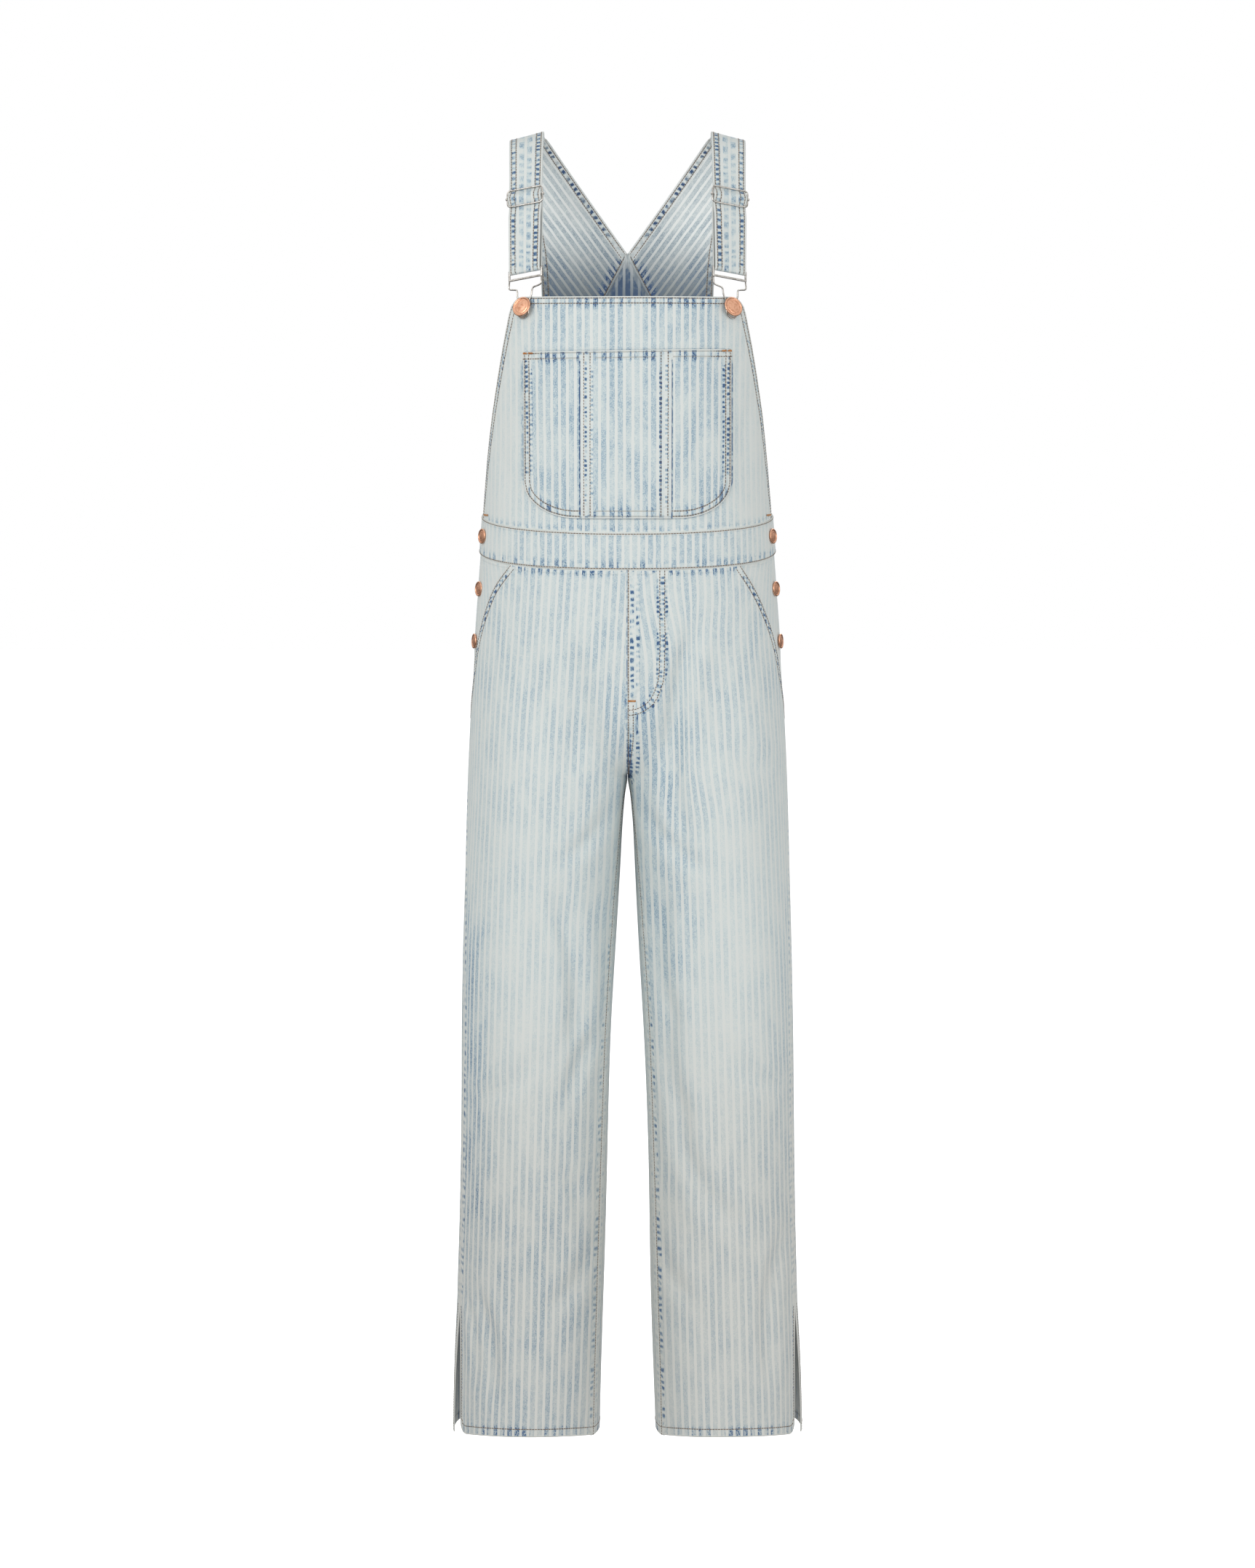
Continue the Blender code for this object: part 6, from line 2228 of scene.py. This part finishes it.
@dataclass
class StrapSet:
    """One strap with its wire slider, its flat buckle and its wire hook."""

    side: Side
    middle_x: float = 110.0
    slider_run: float = 124.0
    loop_run: float = 205.0
    bar_run: float = 214.2
    lift: float = 2.6
    slider_size: tuple[float, float] = (41.2, 18.4)
    slider_corner: float = 4.5
    wire_width: float = 1.8
    bar_width: float = 1.6
    crimp: float = 3.4
    buckle_half: float = 21.2
    buckle_side: float = 1.9
    buckle_bar: float = 2.2
    buckle_depth: float = 2.0
    hook_stand: float = 2.5
    hook_neck: float = 9.4
    hook_eye: float = 6.4
    hook_drop: float = 4.2
    width: float = 37.0
    stitch_rows: tuple[float, float] = (2.4, 7.6)

    def frame(self, run: float) -> tuple[Vector, Vector, Vector, Vector]:
        """Middle, half-width vector, downward direction and outward normal of the right strap.

        Args:
            run: place along the strap.

        Returns:
            The four vectors.
        """
        spots = [Vector((self.middle_x, float(STRAP_RUN.at("y", r)), float(STRAP_RUN.at("z", r))))
                 for r in (run - 0.5, run, run + 0.5)]
        half = Vector([float(STRAP_RUN.at(name, run)) for name in ("half_x", "half_y", "half_z")])
        down = (spots[2] - spots[0]).normalized()
        return spots[1], half, down, down.cross(half).normalized()

    def hardware(self, run: float, lift: float) -> Matrix:
        """Place and turn of a flat metal piece: x across, y down, z outward.

        Args:
            run: place along the strap.
            lift: how far it stands off the strap's middle.

        Returns:
            The placement, on the right side.
        """
        middle, half, down, outward = self.frame(run)
        across = half.normalized()
        downward = (down - across * down.dot(across)).normalized()
        up = across.cross(downward)
        up = up if up.dot(outward) > 0.0 else -up
        turn = Matrix((across, downward, up)).transposed().to_4x4()
        return Matrix.Translation(middle + outward * (lift - 0.5 * CLOTH)) @ turn

    def set_in(self, bm: bmesh.types.BMesh, place: Matrix) -> bmesh.types.BMesh:
        """Set a flat piece in its frame on this side of the garment.

        Args:
            bm: its mesh.
            place: its placement on the right side.

        Returns:
            The same mesh, placed.
        """
        bmesh.ops.transform(bm, matrix=Matrix.Diagonal((self.side.value, 1.0, 1.0, 1.0)) @ place,
                            verts=bm.verts)
        bmesh.ops.recalc_face_normals(bm, faces=bm.faces)
        return bm

    def path(self) -> list[tuple[float, float]]:
        """The strap's run and its height over its middle surface, end to end.

        Returns:
            The pairs of run and height.
        """
        reach = self.slider_size[1] / 2.0
        clear = 0.4 + 0.5 * STRAP
        tuck = self.lift - 0.5 * self.wire_width - clear
        crown = self.lift + 0.5 * self.bar_width + clear
        under = self.lift - 0.5 * self.bar_width - clear
        run = self.slider_run
        path = [(r, 0.0) for r in (1.2, 8, 15, 21, 27, 33, 39, 45, 52, 60, 70, 82, 95)]
        path += [(run - reach - 8.0, 0.2), (run - reach, tuck), (run - 6.6, tuck + 0.5)]
        path += [(run - 3.0, crown - 0.8), (run, crown), (run + 3.0, crown - 0.8)]
        path += [(run + 6.6, tuck + 0.5), (run + reach, tuck)]
        path += [(run + reach + 12.0, self.lift), (165.0, self.lift), (185.0, self.lift)]
        for turn in range(90, -91, -15):
            angle = math.radians(turn)
            path.append((self.loop_run + self.lift * math.cos(angle), self.lift * math.sin(angle)))
        path += [(185.0, -self.lift), (165.0, -self.lift), (run + reach + 9.0, -self.lift)]
        path += [(run + reach, tuck - STRAP - 0.6), (run + 5.0, under - 1.6)]
        return path + [(run + 2.0, under - 0.2), (run - 1.5, under)]

    def strap(self, wardrobe: Wardrobe) -> bpy.types.Object:
        """The strap: two pressed layers, stitched along both edges.

        Args:
            wardrobe: the finishes.

        Returns:
            The strap.
        """
        given = self.path()
        run = np.concatenate([[0.0], np.cumsum(np.hypot(*np.diff(np.array(given), axis=0).T))])
        fine = np.unique(np.concatenate([np.arange(0.0, run[-1], 3.2), run]))
        down = np.interp(fine, run, [p[0] for p in given])
        lift = np.interp(fine, run, [p[1] for p in given])
        for line in (down, lift):
            line[1:-1] = 0.5 * line[1:-1] + 0.25 * (line[:-2] + line[2:])
        frames = [self.frame(r) for r in down]
        mirror = np.array([self.side.value, 1.0, 1.0])

        def lay(s: Array, row: Array) -> Array:
            """Points of the strap, with a fine ripple between its edges.

            Args:
                s: from 0 at one edge to 1 at the other.
                row: numbers of the frames along the strap.

            Returns:
                The points.
            """
            points = np.empty((len(s), 3))
            for number, (share, at) in enumerate(zip(s, row.astype(int))):
                middle, half, _, outward = frames[at]
                ripple = 0.22 * math.sin(fine[at] / 3.3 + 2.2 * share) * (1.0 - abs(2.0 * share - 1.0))
                points[number] = middle + half * (2.0 * share - 1.0) + outward * (
                    lift[at] - 0.5 * CLOTH + ripple * 0.5)
            return points * mirror

        cloth = Cloth(f"strap_{self.side.word}_cloth", lay, stations(self.width, 3.6), np.arange(len(fine)),
                      (0.0, 0.0, 1.0), nodes=(f"strap_{self.side.word}",), thickness=STRAP, centred=True,
                      pitch=8.8, phase=-0.18, grain_x=lambda z: self.side.value * self.middle_x + 0.0 * z,
                      reverse=wardrobe.denim, fade=self.wear)
        rows = np.arange(len(fine))
        normals = np.array([tuple(f[3]) for f in frames]) * mirror
        for edge in (0.0, 1.0):
            line = lay(np.full(len(fine), edge), rows)
            cloth.seams.append(Seam(line, rows=self.stitch_rows, marks=(2.5,), deep=1.2, band=8.2, pitch=6.2,
                                    reach=4.9))
            for off in self.stitch_rows:
                share = edge + (1.0 - 2.0 * edge) * off / self.width
                cloth.threads.append(Row(lay(np.full(len(fine), share), rows) + normals * 0.92, normals))
        return cloth.build(wardrobe)

    @staticmethod
    def wear(points: Array) -> Array:
        """Blue left by the wash, in blotches along the strap.

        Args:
            points: points of the strap.

        Returns:
            The amounts.
        """
        run = np.where(points[:, 1] > 0.0, points[:, 1], points[:, 2] * 1.05)
        beat = np.sin(run * 0.64 + 1.7 * np.sin(run * 0.13) + np.sign(np.abs(points[:, 0]) - 110.0) * 1.9)
        return 0.35 + 1.35 * ease(0.5 + 0.8 * beat) + 0.2 * np.sin(run / 17.0)

    def slider(self, wardrobe: Wardrobe) -> bpy.types.Object:
        """The wire slider: a rounded frame with a bar crimped round its two sides.

        Args:
            wardrobe: the finishes.

        Returns:
            The slider.
        """
        place = self.hardware(self.slider_run, self.lift)
        wide, tall = 0.5 * self.slider_size[0], 0.5 * self.slider_size[1]
        corners = [(0, -tall), (wide, -tall), (wide, tall), (-wide, tall), (-wide, -tall), (0, -tall)]
        outline = rounded_path([(x, y, 0.0) for x, y in corners], self.slider_corner, 8)[:-1]
        flat = Vector((0.0, 0.0, 1.0))
        parts = [wire(outline, self.wire_width, flat, closed=True),
                 wire([Vector((-wide, 0.0, 0.0)), Vector((wide, 0.0, 0.0))], self.bar_width, flat)]
        for end in (-wide - 0.5, wide + 0.5):
            bm = bmesh.new()
            bmesh.ops.create_uvsphere(bm, u_segments=20, v_segments=12, radius=0.5 * self.crimp)
            bmesh.ops.scale(bm, vec=(1.0, 1.05, 0.86), verts=bm.verts)
            bmesh.ops.translate(bm, vec=(end, 0.0, 0.0), verts=bm.verts)
            parts.append(bm)
        word = self.side.word
        return add_piece(f"slider_{word}_wire", joined([self.set_in(bm, place) for bm in parts]),
                         wardrobe.nickel, [f"slider_{word}"])

    def buckle(self, wardrobe: Wardrobe) -> bpy.types.Object:
        """The flat buckle frame: its upper bar lies in the strap's fold, its lower bar shows.

        Args:
            wardrobe: the finishes.

        Returns:
            The frame.
        """
        upper, half_bar = self.loop_run - self.bar_run, 0.5 * self.buckle_bar
        wide = self.buckle_half
        columns = (-wide, self.buckle_side - wide, wide - self.buckle_side, wide)
        rows = (upper - half_bar, upper + half_bar, -half_bar, half_bar)
        bm = bmesh.new()
        bmesh.ops.create_grid(bm, x_segments=3, y_segments=3, size=1.5)
        for vert in bm.verts:
            vert.co = (columns[round(vert.co.x + 1.5)], rows[round(vert.co.y + 1.5)],
                       -0.5 * self.buckle_depth)
        middle = [face for face in bm.faces if all(len(edge.link_faces) == 2 for edge in face.edges)]
        bmesh.ops.delete(bm, geom=middle, context="FACES")
        made = bmesh.ops.extrude_face_region(bm, geom=list(bm.faces))
        moved = [item for item in made["geom"] if isinstance(item, bmesh.types.BMVert)]
        bmesh.ops.translate(bm, vec=(0.0, 0.0, self.buckle_depth), verts=moved)
        sharp = [edge for edge in bm.edges if edge.calc_face_angle(0.0) > 0.5]
        bmesh.ops.bevel(bm, geom=sharp, offset=0.55, segments=3, profile=0.5, affect="EDGES", material=-1)
        word = self.side.word
        return add_piece(f"buckle_{word}_frame", self.set_in(bm, self.hardware(self.bar_run, 0.0)),
                         wardrobe.nickel, [f"buckle_{word}"])

    def hook(self, button: "Button", wardrobe: Wardrobe) -> bpy.types.Object:
        """The wire hook from the buckle's lower bar down round the button's shank.

        Args:
            button: the button that it holds.
            wardrobe: the finishes.

        Returns:
            The hook.
        """
        foot = button.base + button.out * self.hook_stand
        frame_at = self.hardware(self.bar_run, 0.0)
        top = frame_at.translation
        across = (frame_at.to_3x3() @ Vector((1.0, 0.0, 0.0))).normalized()
        down = foot - top - across * (foot - top).dot(across)
        length = down.length
        down.normalize()
        lean = (foot - top).dot(across) / length
        half = self.buckle_half - 0.5 * self.wire_width
        start, loop = 0.5 * self.buckle_bar + 0.3, length + self.hook_drop
        neck, eye = self.hook_neck, self.hook_eye
        right = [(half, start), (half, 9.5), (neck, 11.5), (neck - 0.4, 19.0), (eye - 0.6, 26.0),
                 (eye, loop - 1.0)]
        bend = [(eye * math.cos(a), loop + eye * math.sin(a))
                for a in np.linspace(math.radians(15.0), math.radians(165.0), 13)]
        corners = right + bend + [(-p, q) for p, q in reversed(right)]
        path = rounded_path([top + across * (p + lean * q) + down * q for p, q in corners], 2.6, steps=5)
        bm = wire(path, self.wire_width, across.cross(down).normalized())
        word = self.side.word
        return add_piece(f"hook_{word}_wire", self.set_in(bm, Matrix.Identity(4)), wardrobe.nickel,
                         [f"hook_{word}"])

    def build(self, button: "Button", wardrobe: Wardrobe) -> None:
        """Make the strap and its hardware.

        Args:
            button: the bib button that it hooks on.
            wardrobe: the finishes.
        """
        self.strap(wardrobe)
        self.slider(wardrobe)
        self.buckle(wardrobe)
        self.hook(button, wardrobe)


@dataclass
class Button:
    """A copper tack button: a dished cap with a rolled rim, on a shank."""

    name: str
    side: Side
    base: Vector
    out: Vector
    cap: float = 8.3
    thick: float = 2.2
    shank: float = 2.8
    stand: float = 1.7
    foot: float = 0.35

    def profile(self) -> list[tuple[float, float]]:
        """Half of its section: distance from the axis, height over the cloth.

        Returns:
            The pairs, from the foot to the middle of the cap.
        """
        cap, thick, stand = self.cap, self.thick, self.stand
        rim = 0.42 * thick
        points = [(0.0, self.foot), (self.shank, self.foot), (self.shank, stand), (cap - 1.0, stand)]
        for turn in range(-60, 181, 30):
            a = math.radians(turn)
            points.append((cap - rim + rim * math.cos(a), stand + rim + 0.1 + 1.1 * rim * math.sin(a)))
        points[-1] = (cap - 2.0 * rim, stand + 0.62 * thick)
        points += [(0.70 * cap, stand + 0.60 * thick), (0.66 * cap, stand + 0.72 * thick),
                   (0.60 * cap, stand + 0.80 * thick), (0.54 * cap, stand + 0.74 * thick),
                   (0.40 * cap, stand + 0.86 * thick), (0.2 * cap, stand + 0.97 * thick)]
        return points + [(0.0, stand + thick)]

    def build(self, wardrobe: Wardrobe) -> bpy.types.Object:
        """Turn the button about its axis and set it on the cloth.

        Args:
            wardrobe: the finishes.

        Returns:
            The button.
        """
        bm = bmesh.new()
        verts = [bm.verts.new((x, 0.0, z)) for x, z in self.profile()]
        edges = [bm.edges.new(pair) for pair in zip(verts, verts[1:])]
        bmesh.ops.spin(bm, geom=verts + edges, axis=(0.0, 0.0, 1.0), cent=(0.0, 0.0, 0.0),
                       dvec=(0.0, 0.0, 0.0), angle=2.0 * math.pi, steps=56, use_merge=True,
                       use_normal_flip=False, use_duplicate=False)
        bmesh.ops.remove_doubles(bm, verts=bm.verts, dist=0.001)
        across = self.out.cross(Vector((0.0, 0.0, 1.0))).normalized()
        turn = Matrix((across, self.out.cross(across), self.out)).transposed().to_4x4()
        place = Matrix.Diagonal((self.side.value, 1.0, 1.0, 1.0)) @ Matrix.Translation(self.base) @ turn
        bmesh.ops.transform(bm, matrix=place, verts=bm.verts)
        bmesh.ops.recalc_face_normals(bm, faces=bm.faces)
        return add_piece(f"{self.name}_cap", bm, wardrobe.copper, [self.name])


@dataclass
class Fastenings:
    """The buttons of the bib and of the side openings, and the straps that hook on."""

    bib_spot: tuple[float, float] = (110.5, -195.0)
    bib_axis: tuple[float, float, float] = (0.5, -0.78, 0.36)
    side_spots: tuple[tuple[float, float, float, float], ...] = (
        (0.836, -441.0, 0.2, -0.6), (0.866, -499.0, 0.25, 1.5), (0.892, -557.0, 0.1, 1.5))

    def build(self, wardrobe: Wardrobe) -> None:
        """Make the buttons and both straps.

        Args:
            wardrobe: the finishes.
        """
        for side in Side:
            x, z = (np.float64(v) for v in self.bib_spot)
            base = Vector(trunk_point(trunk_angle(x, z), z))
            large = Button(f"bib_button_{side.word}", side, base, Vector(self.bib_axis).normalized(),
                           cap=11.0, thick=2.4, shank=3.0, stand=5.7, foot=1.2)
            large.build(wardrobe)
            StrapSet(side).build(large, wardrobe)
            chart = TrouserChart(part=Part.FRONT)
            for number, (share, height, lean, sunk) in enumerate(self.side_spots, start=1):
                place = np.array([share]), np.array([height])
                out = Vector(chart.normal(*place)[0])
                base = Vector(chart.bare(*place)[0]) - out * sunk
                out = (out + Vector((0.0, -lean, 0.0))).normalized()
                Button(f"side_button_{side.word}_{number}", side, base, out).build(wardrobe)


@dataclass
class Studio:
    """A plain pale sweep, soft light and the camera."""

    eye: tuple[float, float, float] = (0.0, -3.6, -0.298)
    target: tuple[float, float, float] = (0.0, 0.0, -0.719)
    lens: float = 74.35
    floor: float = -1.62
    reach: float = 14.0
    sky: float = 0.62
    mirrored_sky: tuple[float, float, float, float] = (-0.25, 0.45, 0.16, 1.05)
    floor_glow: float = 0.62
    sensor: float = 36.0
    lamps: tuple[tuple[object, ...], ...] = (
        ("key", (-1.6, -2.2, 0.5), (0.0, 0.0, -0.45), 1.5, 32.0),
        ("fill", (1.9, -2.2, -0.4), (0.0, 0.0, -0.9), 1.5, 22.0),
        ("rear", (0.4, 2.6, 0.9), (0.0, 0.0, -0.6), 1.8, 36.0))

    def build(self) -> None:
        """Set up the floor, the lights and the camera."""
        self.lay_floor()
        self.open_sky()
        for lamp in self.lamps:
            self.lamp(*lamp)
        camera = bpy.data.cameras.new("camera")
        camera.lens, camera.sensor_width, camera.sensor_fit = self.lens, self.sensor, "AUTO"
        held = bpy.data.objects.new("camera", camera)
        held.location = self.eye
        held.rotation_euler = (Vector(self.target) - Vector(self.eye)).to_track_quat("-Z", "Y").to_euler()
        bpy.context.scene.collection.objects.link(held)
        bpy.context.scene.camera = held
        bpy.context.scene.view_settings.view_transform = "Standard"

    def open_sky(self) -> None:
        """An even white surrounding that lights the garment softly."""
        world = bpy.data.worlds.new("studio")
        world.use_nodes = True
        tree = world.node_tree
        soft = tree.nodes["Background"]
        soft.inputs["Color"].default_value = (1.0, 1.0, 1.0, 1.0)
        soft.inputs["Strength"].default_value = self.sky
        room = tree.nodes.new("ShaderNodeSeparateXYZ")
        tree.links.new(tree.nodes.new("ShaderNodeTexCoord").outputs["Generated"], room.inputs[0])
        fall = tree.nodes.new("ShaderNodeMapRange")
        for name, value in zip(("From Min", "From Max", "To Min", "To Max"), self.mirrored_sky):
            fall.inputs[name].default_value = value
        tree.links.new(room.outputs["Z"], fall.inputs["Value"])
        mirrored = tree.nodes.new("ShaderNodeBackground")
        tree.links.new(fall.outputs[0], mirrored.inputs["Strength"])
        shine = tree.nodes.new("ShaderNodeMixShader")
        paper = tree.nodes.new("ShaderNodeBackground")
        seen = tree.nodes.new("ShaderNodeLightPath")
        either = tree.nodes.new("ShaderNodeMixShader")
        tree.links.new(seen.outputs["Is Camera Ray"], either.inputs[0])
        tree.links.new(seen.outputs["Is Glossy Ray"], shine.inputs[0])
        tree.links.new(soft.outputs[0], shine.inputs[1])
        tree.links.new(mirrored.outputs[0], shine.inputs[2])
        tree.links.new(shine.outputs[0], either.inputs[1])
        tree.links.new(paper.outputs[0], either.inputs[2])
        paper.inputs["Color"].default_value = (1.0, 1.0, 1.0, 1.0)
        tree.links.new(either.outputs[0], tree.nodes["World Output"].inputs["Surface"])
        bpy.context.scene.world = world

    def lay_floor(self) -> None:
        """A wide plain floor that throws no light back on the garment."""
        bm = bmesh.new()
        bmesh.ops.create_grid(bm, x_segments=4, y_segments=4, size=self.reach,
                              matrix=Matrix.Translation((0.0, 0.0, self.floor)))
        mesh = bpy.data.meshes.new("studio_floor")
        bm.to_mesh(mesh)
        bm.free()
        nodes = Nodes("pale_floor")
        mesh.materials.append(nodes.finish(Base_Color=(0.9, 0.9, 0.9), Roughness=0.9,
                                           Emission_Color=(1.0, 1.0, 1.0), Emission_Strength=self.floor_glow))
        made = bpy.data.objects.new("studio_floor", mesh)
        bpy.context.scene.collection.objects.link(made)
        made.visible_diffuse = made.visible_glossy = False

    @staticmethod
    def lamp(name: str, place: tuple[float, float, float], aim: tuple[float, float, float], size: float,
             power: float) -> None:
        """Hang a soft square light.

        Args:
            name: its name.
            place: where it hangs.
            aim: what it shines at.
            size: its side.
            power: its power in watts.
        """
        light = bpy.data.lights.new(name, "AREA")
        light.size, light.energy = size, power
        held = bpy.data.objects.new(name, light)
        held.location = place
        held.rotation_euler = (Vector(aim) - Vector(place)).to_track_quat("-Z", "Y").to_euler()
        bpy.context.scene.collection.objects.link(held)


def main() -> None:
    """Dress the garment piece by piece."""
    logging.basicConfig(level=logging.INFO, format="%(name)s: %(message)s")
    Studio().build()
    wardrobe = Wardrobe()
    Trousers().build(wardrobe)
    for part in Part:
        Waistband(part).build(wardrobe)
    Bib().build(wardrobe)
    VBack().build(wardrobe)
    Fastenings().build(wardrobe)


if __name__ == "__main__":
    main()
